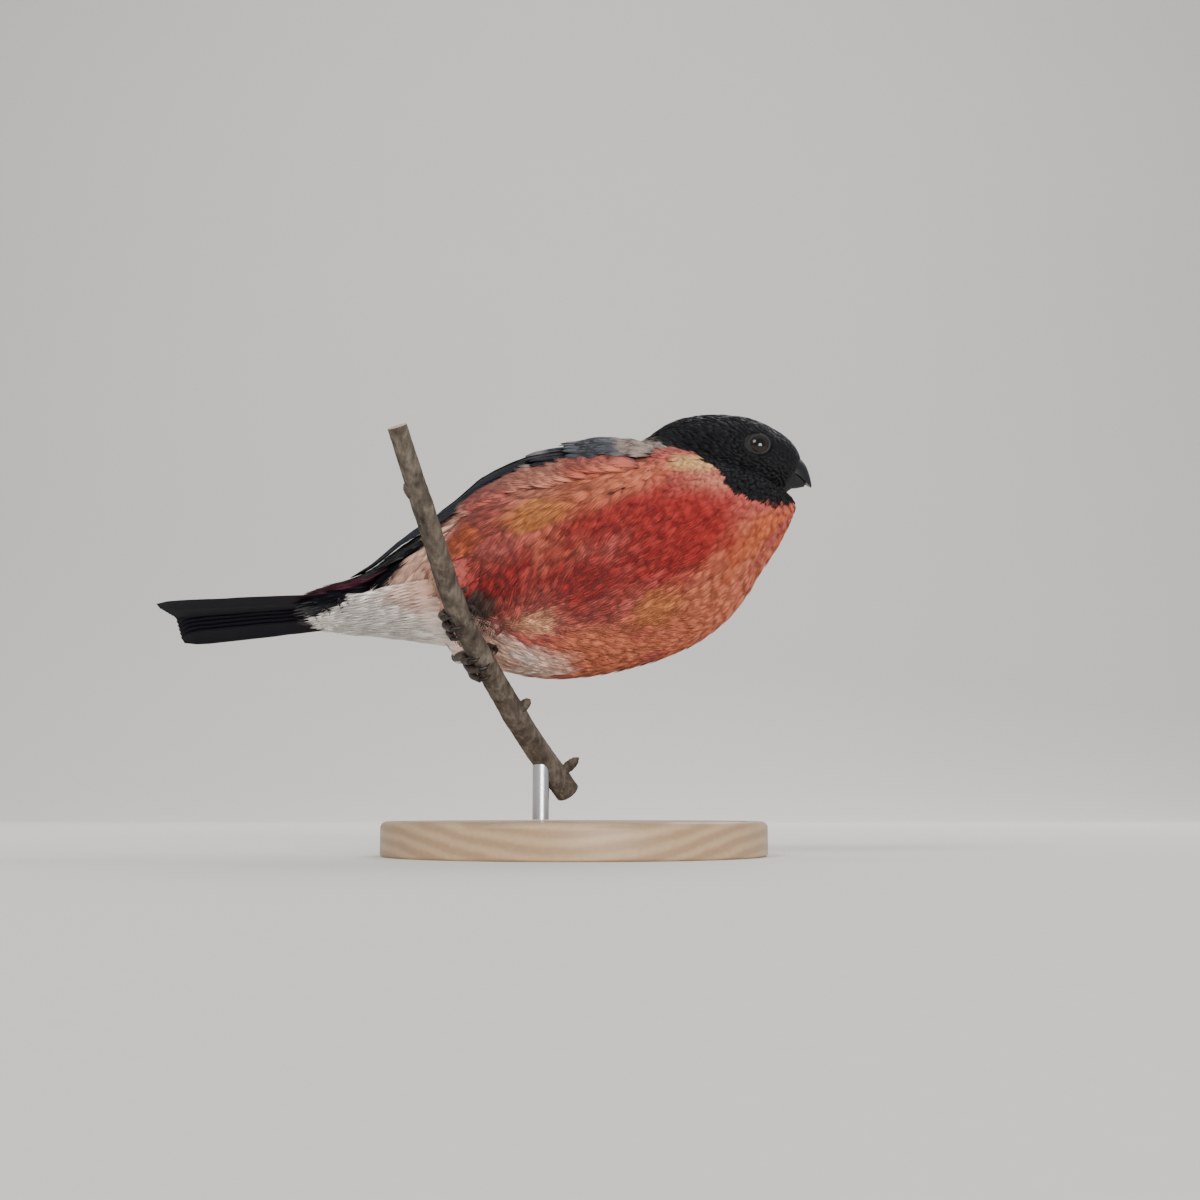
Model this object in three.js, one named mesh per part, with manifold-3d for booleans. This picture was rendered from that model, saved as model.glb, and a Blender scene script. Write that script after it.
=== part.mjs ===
// A life-size male bullfinch that grips a short, steep length of twig, on a plain display stand.
// Millimetres, +Z up, origin at the centre of the stand's underside. The bird faces +X and its
// right side looks along -Y.
import * as THREE from 'three';
import { mergeVertices } from 'three/addons/utils/BufferGeometryUtils.js';
import Module from 'manifold-3d';

const wasm = await Module();
wasm.setup();

const { clamp, degToRad, lerp } = THREE.MathUtils;

// Driving sizes of the whole bird and of its pose
const seam = 0.3; // gap that pieces keep where they meet
const bodyPlace = new THREE.Vector3(6, 0, 70); // middle of the trunk over the stand
const bodyYaw = degToRad(-12);
const bodyRoll = degToRad(-20); // the belly leans to the right, out over the twig
const headYaw = degToRad(-5);
const headRoll = degToRad(-2); // the head is held level
const neckPivot = new THREE.Vector3(23.3, 0, 22.9);
const eyeRadius = 3.2;
const eyePlace = new THREE.Vector3(13.9, 6.3, 5.0); // in the head's own frame, left side
const lidThick = 0.75;
const lidTurn = degToRad(8); // the lids look a little forward
const billPlace = new THREE.Vector3(19.6, 0, 0.8); // where the mouth line leaves the face
const billDroop = degToRad(28);
const nostrilRadius = 0.45;
const nostrilPlace = new THREE.Vector3(22.1, 2.75, 2.6);
const tailLength = 59;
const tailRoot = new THREE.Vector3(-50, 0, -9.4);
const tailDroop = degToRad(3);
const tailRoll = degToRad(-4); // the fan turns a little further than the body

// The trunk, as rings across a spine in the plane of symmetry, from under the tail to the breast
const trunk = [
  { x: -77, z: -12.0, high: 0.9, wide: 2.6 },
  { x: -69, z: -11.7, high: 3.2, wide: 6.0 },
  { x: -61, z: -11.1, high: 4.9, wide: 8.0 },
  { x: -53, z: -9.7, high: 7.6, wide: 10.0 },
  { x: -44, z: -7.5, high: 12.2, wide: 13.5 },
  { x: -35, z: -5.9, high: 16.6, wide: 17.0 },
  { x: -25, z: -4.9, high: 23.4, wide: 21.8 },
  { x: -13, z: -3.2, high: 27.3, wide: 24.8 },
  { x: 0, z: -0.5, high: 28.2, wide: 25.8 },
  { x: 13, z: 3.0, high: 27.0, wide: 25.4 },
  { x: 24, z: 6.8, high: 22.6, wide: 22.8 },
  { x: 33.5, z: 10.2, high: 14.6, wide: 17.4 },
  { x: 41, z: 12.4, high: 8.6, wide: 11.4 },
  { x: 46.2, z: 13.4, high: 3.0, wide: 3.8 },
];

// The thick neck, from deep in the trunk to inside the head
const neck = [
  { x: -8, z: 6, high: 17.5, wide: 17.0 },
  { x: 4, z: 10.5, high: 19.0, wide: 18.2 },
  { x: 13, z: 16, high: 17.0, wide: 16.4 },
  { x: 20, z: 21.5, high: 13.4, wide: 13.2 },
  { x: 27, z: 25.5, high: 10.4, wide: 10.4 },
  { x: 31, z: 27, high: 6.0, wide: 6.0 },
];

// The head, in its own frame: origin at the neck's pivot, +X to the bill
const head = [
  { x: -13, z: 3.0, high: 5.0, wide: 5.0 },
  { x: -9, z: 3.5, high: 8.4, wide: 8.4 },
  { x: -3, z: 4.1, high: 10.6, wide: 10.3 },
  { x: 4, z: 3.9, high: 11.4, wide: 10.9 },
  { x: 11, z: 3.0, high: 11.2, wide: 10.3 },
  { x: 17, z: 1.6, high: 9.5, wide: 8.4 },
  { x: 21.2, z: 0.1, high: 7.0, wide: 6.1 },
  { x: 23.6, z: -0.8, high: 3.8, wide: 3.5 },
];

// The bill's halves along the mouth line: reach from the face, depth off the line, half width
const upperBill = [
  { reach: -3.0, deep: 4.3, wide: 3.8 },
  { reach: 0, deep: 4.9, wide: 4.2 },
  { reach: 2.6, deep: 4.5, wide: 3.7 },
  { reach: 5.2, deep: 3.3, wide: 2.6 },
  { reach: 7.2, deep: 1.8, wide: 1.3 },
  { reach: 8.4, deep: 0.5, wide: 0.4 },
];
const lowerBill = [
  { reach: -3.0, deep: 3.6, wide: 3.5 },
  { reach: 0, deep: 4.0, wide: 3.8 },
  { reach: 2.6, deep: 3.6, wide: 3.3 },
  { reach: 5.0, deep: 2.4, wide: 2.1 },
  { reach: 6.8, deep: 0.8, wide: 0.8 },
];
const billBend = 0.21; // beyond bendFrom the bill drops by this for each millimetre of reach
const bendFrom = 5;

// Planes that part the body, each by a point on the spine's plane and the tilt of its normal
const headCut = { x: 28.7, z: 23.3, tilt: degToRad(60) };
const neckCut = { x: 23, z: 15.3, tilt: degToRad(63) };
const rumpCut = { x: -24, z: -4, tilt: degToRad(7) };
const tailCut = { x: -55, z: -10, tilt: degToRad(4) };

// The folded wing's core, by places along the trunk and angles down from the middle of the back
const wingFront = 20;
const wingCoreRear = -30;
const wingFloor = 0.45; // the wing's inner face clears the body by this
const wingThick = 1.7;
const wingEdgeThick = 0.5;
const coreEdges = [
  { share: 0, upper: 44, lower: 50 },
  { share: 0.34, upper: 21, lower: 68 },
  { share: 0.47, upper: 12, lower: 68 },
  { share: 0.9, upper: 12, lower: 68 },
  { share: 1, upper: 12, lower: 65 },
];
const restFrom = -38; // behind this the wing's tip keeps off the narrowing rump
const restOver = 20;
const restHigh = 1.2;
const restWide = 0.6;

// A feather's rows, as shares of its length, its width at each, and its points across
const vaneThick = 0.55;
const vaneTipThick = 0.38;
const vaneCamber = 0.1;
const vaneTilt = degToRad(11); // each feather's lower edge lies over the next one
const longVane = {
  shares: [0, 0.35, 0.7, 0.93, 1],
  widths: [0.7, 0.92, 1, 0.68, 0.24],
  across: [-1, 1],
};
const broadVane = { ...longVane, across: [-1, 0, 1] };
const shortVane = {
  shares: [0, 0.5, 0.88, 1],
  widths: [0.75, 1, 0.72, 0.26],
  across: [-1, 0, 1],
};
const innerVane = {
  shares: [0, 0.5, 0.93, 1],
  widths: [0.6, 0.95, 0.9, 0.4],
  across: [-1, 1],
};

// Tiers of the wing, each from the feather nearest the back to the one nearest the belly.
// A root or tip is a place along X, an angle in degrees and a lift off the body.
const wingTiers = [
  { // primaries
    count: 5,
    half: 2.7,
    shape: longVane,
    roots: [[-12, 54, 1.4], [-15, 61, 1.2]],
    tips: [[-46, 33, 1.7], [-63.5, 46, 1.3]],
  },
  { // secondaries
    count: 3,
    half: 3.2,
    shape: longVane,
    roots: [[-8, 42, 1.7], [-9, 52, 1.5]],
    tips: [[-41, 27, 2.3], [-44, 37, 2.0]],
  },
  { // tertials
    count: 3,
    half: 3.7,
    shape: broadVane,
    roots: [[-5, 19, 1.7], [-7, 34, 1.8]],
    tips: [[-26, 13, 2.6], [-38, 24, 2.6]],
  },
  { // primary coverts
    count: 2,
    half: 2.6,
    shape: shortVane,
    roots: [[5, 58, 1.2], [5, 64, 1.1]],
    tips: [[-17, 57, 2.1], [-20, 63, 1.8]],
  },
  { // greater coverts
    count: 5,
    half: 3.3,
    shape: shortVane,
    roots: [[4, 21, 1.6], [3, 57, 1.4]],
    tips: [[-13, 16, 3.1], [-10, 54, 2.8]],
  },
  { // median coverts
    count: 4,
    half: 3.9,
    shape: shortVane,
    roots: [[15, 27, 1.4], [14, 56, 1.3]],
    tips: [[-2, 19, 3.2], [0, 56, 2.9]],
  },
];

// The tail's feathers, from the middle pair outwards, and the coverts over and under their roots
const tailPairs = 6;
const outerHalf = 2.7; // half width of the pairs that show whole, from above or below
const innerHalf = 1.45;
const rectrixStep = 0.36; // each pair lies this much lower than the one inside it
const rectrixClear = 0.5; // and the pairs that show whole lie clear of the others
const tailNotch = 2.2;
const covertRoot = -0.4; // the tail's coverts start this far inside the trunk's end
const covertRise = 0.35; // and the middle one of three lies over the other two
const tailCoverts = [
  { angles: [-38, 38, 0], from: -56, to: -70, lift: 1.0, half: 3.1 },
  { angles: [140, 220, 180], from: -57, to: -74, lift: 0.8, half: 3.4 },
];

// The twig, from its lower cut end to its upper one, and the feet on it
const twigPath = [
  new THREE.Vector3(-2, 14, 15),
  new THREE.Vector3(-10.5, 5, 27),
  new THREE.Vector3(-20.5, -12.5, 44),
  new THREE.Vector3(-25.8, -22.5, 54.5),
  new THREE.Vector3(-31, -32.5, 71),
  new THREE.Vector3(-37.5, -42, 92),
];
const twigRadii = [3.1, 3.0, 2.75, 2.65, 2.45, 2.2];
const twigSides = 11;
const twigSteps = 18;
const buds = [
  { share: 0.06, lean: new THREE.Vector3(0.9, -0.5, 0.75), length: 4.6 },
  { share: 0.27, lean: new THREE.Vector3(0.7, -0.7, 0.6), length: 3.4 },
  { share: 0.85, lean: new THREE.Vector3(-0.8, -0.6, 0.9), length: 4.0 },
];
const budRadii = [1.15, 1.35, 1.0, 0.2];

// The feet: place on the twig as a share of its line, the heel, and the thigh's root in the belly
const grips = {
  left: {
    share: 0.415,
    heel: new THREE.Vector3(-27.5, -2.5, 46.5),
    hip: new THREE.Vector3(-18, 3, 52),
  },
  right: {
    share: 0.575,
    heel: new THREE.Vector3(-31.5, -15.5, 66.5),
    hip: new THREE.Vector3(-19, -13, 60),
  },
};
const thighRadii = [4.6, 4.2, 1.9];
const tarsusRadius = 1.15;
const heelSwell = 1.25;
const soleSwell = 1.1;
const padRadius = 1.55;
const toeRadius = 0.95;
const toeTipRadius = 0.8;
const toeWaist = 0.92; // between its joints a toe is this much thinner
const toes = [ // way round the twig, slip along it and sweep round it
  { way: 1, slip: -2.9, sweep: 1.95 },
  { way: 1, slip: 0, sweep: 2.3 },
  { way: 1, slip: 2.8, sweep: 1.9 },
  { way: -1, slip: 0.3, sweep: 1.7 }, // the hind toe
];
const clawLength = 3.4;
const clawRadii = [0.62, 0.52, 0.36, 0.12];
const clawArch = 0.45;

// The stand
const baseRadius = 45;
const baseHeight = 8;
const baseEdge = 1.5;
const rodRadius = 2;
const rodLength = 40; // before its top is cut to the twig
const rodPlace = new THREE.Vector2(-8.2, 7.4);

const colours = {
  cap: 0x111318,
  rose: 0xc4513f,
  blush: 0xdfb5a6,
  tail: 0x15151b,
  wing: 0x23262d,
  bill: 0x1d1e22,
  eye: 0x0d0a09,
  down: 0xd8b8ae,
  leg: 0x3a2c27,
  bark: 0x6b6152,
  wood: 0xb99a74,
  rod: 0xa9abad,
};

// Makes a closed geometry into a solid for joining and cutting
function solidOf(geometry) {
  const bare = geometry.clone();
  bare.deleteAttribute('normal');
  bare.deleteAttribute('uv');
  const merged = mergeVertices(bare, 1e-4);
  return new wasm.Manifold(new wasm.Mesh({
    numProp: 3,
    vertProperties: merged.attributes.position.array,
    triVerts: new Uint32Array(merged.index.array),
  }));
}

// Makes a solid's largest closed surface into a geometry
function geometryOf(solid) {
  const bodies = solid.decompose();
  bodies.sort((a, b) => b.volume() - a.volume());
  const mesh = bodies[0].getMesh();
  const geometry = new THREE.BufferGeometry();
  geometry.setAttribute('position', new THREE.BufferAttribute(mesh.vertProperties, 3));
  geometry.setIndex(new THREE.BufferAttribute(mesh.triVerts, 1));
  const flat = geometry.toNonIndexed();
  flat.computeVertexNormals();
  return flat;
}

function joined(geometries) {
  return geometries.map(solidOf).reduce((whole, piece) => whole.add(piece));
}

// Rings of points, each a closed loop of the same count, skinned into a closed geometry
function skinRings(rings) {
  const sides = rings[0].length;
  const points = rings.flat();
  const indices = [];
  for (let i = 0; i + 1 < rings.length; i += 1) {
    for (let j = 0; j < sides; j += 1) {
      const a = i * sides + j;
      const b = i * sides + ((j + 1) % sides);
      indices.push(a, b, b + sides, a, b + sides, a + sides);
    }
  }
  const lastRing = rings.length - 1;
  [0, lastRing].forEach((i) => {
    const middle = new THREE.Vector3();
    rings[i].forEach((p) => middle.add(p));
    points.push(middle.divideScalar(sides));
    const hub = points.length - 1;
    for (let j = 0; j < sides; j += 1) {
      const a = i * sides + j;
      const b = i * sides + ((j + 1) % sides);
      if (i === 0) indices.push(hub, b, a);
      else indices.push(hub, a, b);
    }
  });
  const geometry = new THREE.BufferGeometry().setFromPoints(points);
  geometry.setIndex(indices);
  return geometry;
}

// A thin blade from two grids of points, upper and lower, split into triangles alike on both
function skinBlade(upper, lower) {
  const last = upper.length - 1;
  const across = upper[0].length;
  const under = upper.length * across;
  const indices = [];
  const quad = (a, b, c, d) => indices.push(a, b, c, a, c, d);
  const cross = (a, b, c, d) => indices.push(a, c, b, a, d, c);
  for (let i = 0; i < last; i += 1) {
    for (let k = 0; k + 1 < across; k += 1) {
      const a = i * across + k;
      const corners = [a, a + 1, a + 1 + across, a + across];
      cross(...corners);
      quad(...corners.map((c) => c + under));
    }
    const near = i * across;
    const far = near + across - 1;
    quad(near, near + under, near + across + under, near + across);
    quad(far, far + across, far + across + under, far + under);
  }
  for (let k = 0; k + 1 < across; k += 1) {
    const tip = last * across + k;
    quad(k, k + 1, k + 1 + under, k + under);
    quad(tip, tip + under, tip + 1 + under, tip + 1);
  }
  const geometry = new THREE.BufferGeometry().setFromPoints([...upper.flat(), ...lower.flat()]);
  geometry.setIndex(indices);
  return geometry;
}

// One feather over a run of frames { at, across, out }, raised at its shaft
function vane(frames, halfWidth, shape) {
  const face = (sign) => frames.map((frame, i) => {
    const half = halfWidth * shape.widths[i];
    const rise = (sign * lerp(vaneThick, vaneTipThick, shape.shares[i])) / 2;
    return shape.across.map((k) => {
      const camber = k === 0 ? vaneCamber * half : 0;
      const point = frame.at.clone().addScaledVector(frame.across, k * half);
      return point.addScaledVector(frame.out, rise + camber);
    });
  });
  return skinBlade(face(1), face(-1));
}

// Frames along a feather from spots { point, out }, leant about its length by tilt
function framesAlong(spots, tilt) {
  return spots.map((spot, i) => {
    const next = spots[Math.min(i + 1, spots.length - 1)].point;
    const along = next.clone().sub(spots[Math.max(i - 1, 0)].point).normalize();
    const across = spot.out.clone().cross(along).normalize();
    const flat = along.clone().cross(across);
    across.multiplyScalar(Math.cos(tilt)).addScaledVector(flat, Math.sin(tilt));
    return { at: spot.point, across, out: along.clone().cross(across) };
  });
}

// A smooth run through stations, which gives the place and the sizes of the ring at any share
function stationCurve(stations) {
  const spine = new THREE.CatmullRomCurve3(
    stations.map((s) => new THREE.Vector3(s.x, 0, s.z)), false, 'catmullrom', 0.5);
  const sizes = new THREE.CatmullRomCurve3(
    stations.map((s) => new THREE.Vector3(s.high, s.wide, 0)), false, 'catmullrom', 0.5);
  return (share) => {
    const at = spine.getPoint(share);
    const along = spine.getTangent(share);
    const size = sizes.getPoint(share);
    return { at, along, high: size.x, wide: size.y };
  };
}

// A point on a ring, by its angle from the top towards +Y, raised off the surface by lift
function ringPoint(ring, angle, lift) {
  const up = new THREE.Vector3(-ring.along.z, 0, ring.along.x);
  const side = new THREE.Vector3(0, 1, 0);
  const out = up.clone().multiplyScalar(Math.cos(angle) / ring.high);
  out.addScaledVector(side, Math.sin(angle) / ring.wide).normalize();
  const point = ring.at.clone().addScaledVector(up, ring.high * Math.cos(angle));
  point.addScaledVector(side, ring.wide * Math.sin(angle)).addScaledVector(out, lift);
  return { point, out };
}

// A closed loft through stations, grown outwards by lift
function loft(stations, ringCount, sides, lift = 0) {
  const ringAt = stationCurve(stations);
  const rings = [];
  for (let i = 0; i <= ringCount; i += 1) {
    const ring = ringAt(i / ringCount);
    const loop = [];
    for (let j = 0; j < sides; j += 1) {
      loop.push(ringPoint(ring, (-2 * Math.PI * j) / sides, lift).point);
    }
    if (lift && i === 0) loop.forEach((p) => p.addScaledVector(ring.along, -lift));
    if (lift && i === ringCount) loop.forEach((p) => p.addScaledVector(ring.along, lift));
    rings.push(loop);
  }
  return skinRings(rings);
}

// The trunk's ring at a place along X, found by halving
function ringAtPlace(ringAt, x) {
  let low = 0;
  let high = 1;
  for (let i = 0; i < 24; i += 1) {
    const middle = (low + high) / 2;
    if (ringAt(middle).at.x < x) low = middle;
    else high = middle;
  }
  return ringAt((low + high) / 2);
}

// A closed tube of changing radius through points
function limb(points, radii, sides, steps) {
  const path = new THREE.CatmullRomCurve3(points, false, 'centripetal');
  const girth = new THREE.CatmullRomCurve3(
    radii.map((r) => new THREE.Vector3(r, 0, 0)), false, 'catmullrom', 0.5);
  const rings = [];
  let side = new THREE.Vector3(0.31, 0.87, 0.38);
  for (let i = 0; i <= steps; i += 1) {
    const share = i / steps;
    const along = path.getTangent(share);
    side = side.clone().addScaledVector(along, -side.dot(along)).normalize();
    const up = along.clone().cross(side);
    const at = path.getPoint(share);
    const radius = girth.getPoint(share).x;
    const loop = [];
    for (let j = 0; j < sides; j += 1) {
      const angle = (2 * Math.PI * j) / sides;
      const p = at.clone().addScaledVector(side, radius * Math.cos(angle));
      loop.push(p.addScaledVector(up, radius * Math.sin(angle)));
    }
    rings.push(loop);
  }
  return skinRings(rings);
}

// Everything on one side of a parting plane, less half the seam
function sideOf(cut, way) {
  const reach = 400; // more than the whole bird
  const block = new THREE.BoxGeometry(reach, reach, reach);
  block.translate((way * (reach + seam)) / 2, 0, 0);
  block.rotateY(-cut.tilt);
  block.translate(cut.x, 0, cut.z);
  return solidOf(block);
}

const aheadOf = (cut) => sideOf(cut, 1);
const behind = (cut) => sideOf(cut, -1);

// Frames of the body and of the head in it
const bodyTurn = new THREE.Quaternion().setFromEuler(new THREE.Euler(bodyRoll, 0, bodyYaw, 'ZXY'));
const headTurn = new THREE.Quaternion().setFromEuler(new THREE.Euler(headRoll, 0, headYaw, 'ZXY'));
const headInBody = bodyTurn.clone().invert().multiply(headTurn);
const headFrame = new THREE.Matrix4().compose(neckPivot, headInBody, new THREE.Vector3(1, 1, 1));
const bodyFrame = new THREE.Matrix4().compose(bodyPlace, bodyTurn, new THREE.Vector3(1, 1, 1));

// The trunk, neck and head as one solid in the body's frame
function flesh(lift) {
  return joined([
    loft(trunk, 28, 32, lift),
    loft(neck, 10, 26, lift),
    loft(head, 16, 26, lift).applyMatrix4(headFrame),
  ]);
}

// Half of the bill, above or below the mouth line, in the head's frame
function billHalf(stations, sign, lift) {
  const sides = 12;
  const rings = stations.map((s) => {
    const drop = Math.max(0, s.reach - bendFrom) * billBend;
    const reach = s.reach + (s === stations[0] ? -lift : 0);
    const loop = [];
    for (let j = 0; j <= sides; j += 1) {
      const angle = (Math.PI * j) / sides;
      const rise = (s.deep + lift) * Math.sin(angle) + seam / 2 - lift;
      loop.push(new THREE.Vector3(
        reach, (s.wide + lift) * Math.cos(angle) * sign, sign * rise - drop));
    }
    return loop;
  });
  const geometry = skinRings(rings);
  geometry.rotateY(billDroop);
  geometry.translate(billPlace.x, billPlace.y, billPlace.z);
  return geometry;
}

// The eye's ball, turned a little forward, and the ring of its lids
function eyeball(side, radius, around = 16) {
  const ball = new THREE.SphereGeometry(radius, around, (around * 3) / 4);
  ball.translate(eyePlace.x, eyePlace.y * side, eyePlace.z);
  return ball;
}

function lids(side) {
  const ring = new THREE.TorusGeometry(eyeRadius * 0.9, lidThick, 5, 14);
  ring.scale(1, 0.88, 1); // an eye is a little longer than it is high
  ring.rotateX(-side * Math.PI / 2);
  ring.rotateZ(-side * lidTurn);
  ring.translate(eyePlace.x + 0.2, (eyePlace.y + 0.625 * eyeRadius) * side, eyePlace.z);
  return ring;
}

// The head with sockets for the bill and the eyes, and with lids
function makeHead(body) {
  let solid = body.intersect(aheadOf(headCut));
  [1, -1].forEach((side) => {
    solid = solid.add(solidOf(lids(side).applyMatrix4(headFrame)));
    solid = solid.subtract(solidOf(eyeball(side, eyeRadius + seam, 12).applyMatrix4(headFrame)));
  });
  [[upperBill, 1], [lowerBill, -1]].forEach(([stations, sign]) => {
    solid = solid.subtract(solidOf(billHalf(stations, sign, seam).applyMatrix4(headFrame)));
  });
  return geometryOf(solid);
}

function makeUpperBill() {
  let solid = solidOf(billHalf(upperBill, 1, 0));
  [1, -1].forEach((side) => {
    const nostril = new THREE.SphereGeometry(nostrilRadius, 8, 6);
    nostril.translate(nostrilPlace.x, nostrilPlace.y * side, nostrilPlace.z);
    solid = solid.subtract(solidOf(nostril));
  });
  return geometryOf(solid);
}

// The core's edges at a share of its length, as angles from the middle of the back
function edgesAt(share) {
  const next = Math.max(1, coreEdges.findIndex((edge) => edge.share >= share));
  const [from, to] = [coreEdges[next - 1], coreEdges[next]];
  const part = (share - from.share) / (to.share - from.share);
  return {
    upper: degToRad(lerp(from.upper, to.upper, part)),
    lower: degToRad(lerp(from.lower, to.lower, part)),
  };
}

// The surface that the folded wing lies on: the trunk, kept full towards the wing's tip
const wingLie = stationCurve(trunk.map((s) => {
  const past = clamp((restFrom - s.x) / restOver, 0, 1);
  return { ...s, high: s.high + restHigh * past, wide: s.wide + restWide * past };
}));

// The wing's core: a thin slab under the coverts, rounded at its edges
function wingCore(side) {
  const across = 5;
  const places = 9;
  const spots = (face) => {
    const grid = [];
    for (let i = 0; i <= places; i += 1) {
      const share = i / places;
      const ring = ringAtPlace(wingLie, lerp(wingFront, wingCoreRear, share));
      const edges = edgesAt(share);
      const full = Math.min(1, 4 * share + 0.3, 3 * (1 - share));
      const row = [];
      for (let k = 0; k <= across; k += 1) {
        const bulge = full * Math.min(1, 3.2 * Math.min(k, across - k) / across);
        const height = wingFloor + face * lerp(wingEdgeThick, wingThick, bulge);
        const angle = side * lerp(edges.upper, edges.lower, k / across);
        row.push(ringPoint(ring, angle, height).point);
      }
      grid.push(side < 0 ? row : row.reverse());
    }
    return grid;
  };
  return skinBlade(spots(1), spots(0));
}

// The feathers of one wing, tier by tier
function wingFeathers(side) {
  const feathers = [];
  const between = (from, to, share) => from.map((v, k) => lerp(v, to[k], share));
  wingTiers.forEach((tier) => {
    for (let i = 0; i < tier.count; i += 1) {
      const rank = i / (tier.count - 1);
      const root = between(...tier.roots, rank);
      const tip = between(...tier.tips, rank);
      const spots = tier.shape.shares.map((share) => {
        const [x, angle, lift] = between(root, tip, share);
        return ringPoint(ringAtPlace(wingLie, x), side * degToRad(angle), lift);
      });
      feathers.push(vane(framesAlong(spots, -side * vaneTilt), tier.half, tier.shape));
    }
  });
  return feathers;
}

function makeWing(side, clearance) {
  return geometryOf(joined([wingCore(side), ...wingFeathers(side)]).subtract(clearance));
}

// The tail's long feathers, in pairs that lie lower from the middle outwards
function rectrices() {
  const feathers = [];
  const outermost = tailPairs - 1;
  for (let i = outermost; i >= 0; i -= 1) {
    const whole = i === 0 || i === outermost;
    const clear = whole ? rectrixClear * Math.sign(outermost / 2 - i) : 0;
    const half = whole ? outerHalf : innerHalf;
    const shape = whole ? shortVane : innerVane;
    [1, -1].forEach((side) => {
      const length = tailLength - tailNotch * (1 - i / outermost);
      const level = clear - rectrixStep * i - (side < 0 ? rectrixStep / 2 : 0);
      const spots = shape.shares.map((share) => {
        const y = side * lerp(0.9 + 0.8 * i, 1.5 + 1.05 * i, share);
        return { point: new THREE.Vector3(-length * share, y, level), out: new THREE.Vector3(0, 0, 1) };
      });
      feathers.push(vane(framesAlong(spots, 0), half, shape));
    });
  }
  feathers.forEach((feather) => {
    feather.rotateX(tailRoll);
    feather.rotateY(-tailDroop);
    feather.translate(tailRoot.x, tailRoot.y, tailRoot.z);
  });
  return feathers;
}

// The coverts that run from the trunk's end over and under the tail
function coverts() {
  const trunkRing = stationCurve(trunk);
  return tailCoverts.flatMap((tier) => tier.angles.map((angle) => {
    const lift = tier.lift + (angle % 180 === 0 ? covertRise : 0);
    const spots = shortVane.shares.map((share) => {
      const ring = ringAtPlace(trunkRing, lerp(tier.from, tier.to, share));
      return ringPoint(ring, degToRad(angle), lerp(covertRoot, lift, share));
    });
    return vane(framesAlong(spots, 0), tier.half, shortVane);
  }));
}

function makeTail(body) {
  const cone = body.intersect(behind(tailCut));
  const feathers = joined([...rectrices(), ...coverts()]).intersect(behind(tailCut));
  return geometryOf(cone.add(feathers));
}

// The twig's middle line, and the frame across it at a share of its length
const twigLine = new THREE.CatmullRomCurve3(twigPath, false, 'centripetal');

function twigRadius(share) {
  const last = twigRadii.length - 1;
  const i = Math.min(last - 1, Math.floor(share * last));
  return lerp(twigRadii[i], twigRadii[i + 1], share * last - i);
}

// The frame across the twig under a foot, with its out towards the heel
function gripFrame(grip) {
  const at = twigLine.getPoint(grip.share);
  const along = twigLine.getTangent(grip.share);
  const out = grip.heel.clone().sub(at);
  out.addScaledVector(along, -out.dot(along)).normalize();
  const across = along.clone().cross(out);
  return { at, along, out, across, radius: twigRadius(grip.share) };
}

// A point that hugs the twig, by the angle round it, the slip along it and the height off it
function onTwig(frame, angle, slip, height) {
  const reach = frame.radius + height;
  const point = frame.at.clone().addScaledVector(frame.along, slip);
  point.addScaledVector(frame.out, reach * Math.cos(angle));
  return point.addScaledVector(frame.across, reach * Math.sin(angle));
}

// One toe round the twig, with its claw, whose point comes down to the bark
function toe(frame, { way, slip, sweep }) {
  const steps = 6;
  const points = [];
  const radii = [];
  for (let i = 0; i <= steps; i += 1) {
    const share = i / steps;
    const radius = lerp(toeRadius, toeTipRadius, share) * (i % 2 ? toeWaist : 1);
    const angle = way * lerp(0.12, sweep, share);
    points.push(onTwig(frame, angle, slip * Math.sqrt(share), seam + radius + 0.1));
    radii.push(radius);
  }
  const start = seam + toeTipRadius;
  const end = seam + clawRadii[0] * 0.5;
  const claw = clawRadii.map((radius, i) => {
    const share = i / (clawRadii.length - 1);
    const angle = way * (sweep - 0.1 + (share * clawLength) / (frame.radius + start));
    const arch = clawArch * Math.sin(Math.PI * share);
    return onTwig(frame, angle, slip, lerp(start, end, share) + arch);
  });
  return [limb(points, radii, 6, steps), limb(claw, clawRadii, 5, 4)];
}

// The tarsus from the heel down to the twig, grown by lift
function tarsus(grip, lift) {
  const sole = onTwig(gripFrame(grip), 0, 0, seam + toeRadius + 0.35);
  const away = grip.heel.clone().sub(sole).normalize();
  const top = grip.heel.clone().addScaledVector(away, lift);
  const radii = [heelSwell, 1, soleSwell].map((swell) => tarsusRadius * swell + lift);
  return limb([top, grip.heel.clone().lerp(sole, 0.5), sole], radii, 9, 5);
}

// The scaly part of a leg: tarsus, toes and claws
function makeLeg(grip, clearance) {
  const frame = gripFrame(grip);
  const pad = new THREE.SphereGeometry(padRadius, 10, 7);
  pad.translate(...onTwig(frame, 0, 0, seam + padRadius).toArray());
  const pieces = [tarsus(grip, 0), pad, ...toes.flatMap((spec) => toe(frame, spec))];
  return geometryOf(joined(pieces).subtract(clearance));
}

// The feathered thigh, from the belly to the heel
function makeThigh(grip, clearance) {
  const middle = grip.hip.clone().lerp(grip.heel, 0.55);
  const thigh = solidOf(limb([grip.hip, middle, grip.heel], thighRadii, 12, 6));
  return geometryOf(thigh.subtract(clearance).subtract(solidOf(tarsus(grip, seam))));
}

// The twig's stem, grown by lift
function stem(lift) {
  return limb(twigPath, twigRadii.map((radius) => radius + lift), twigSides, twigSteps);
}

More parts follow.
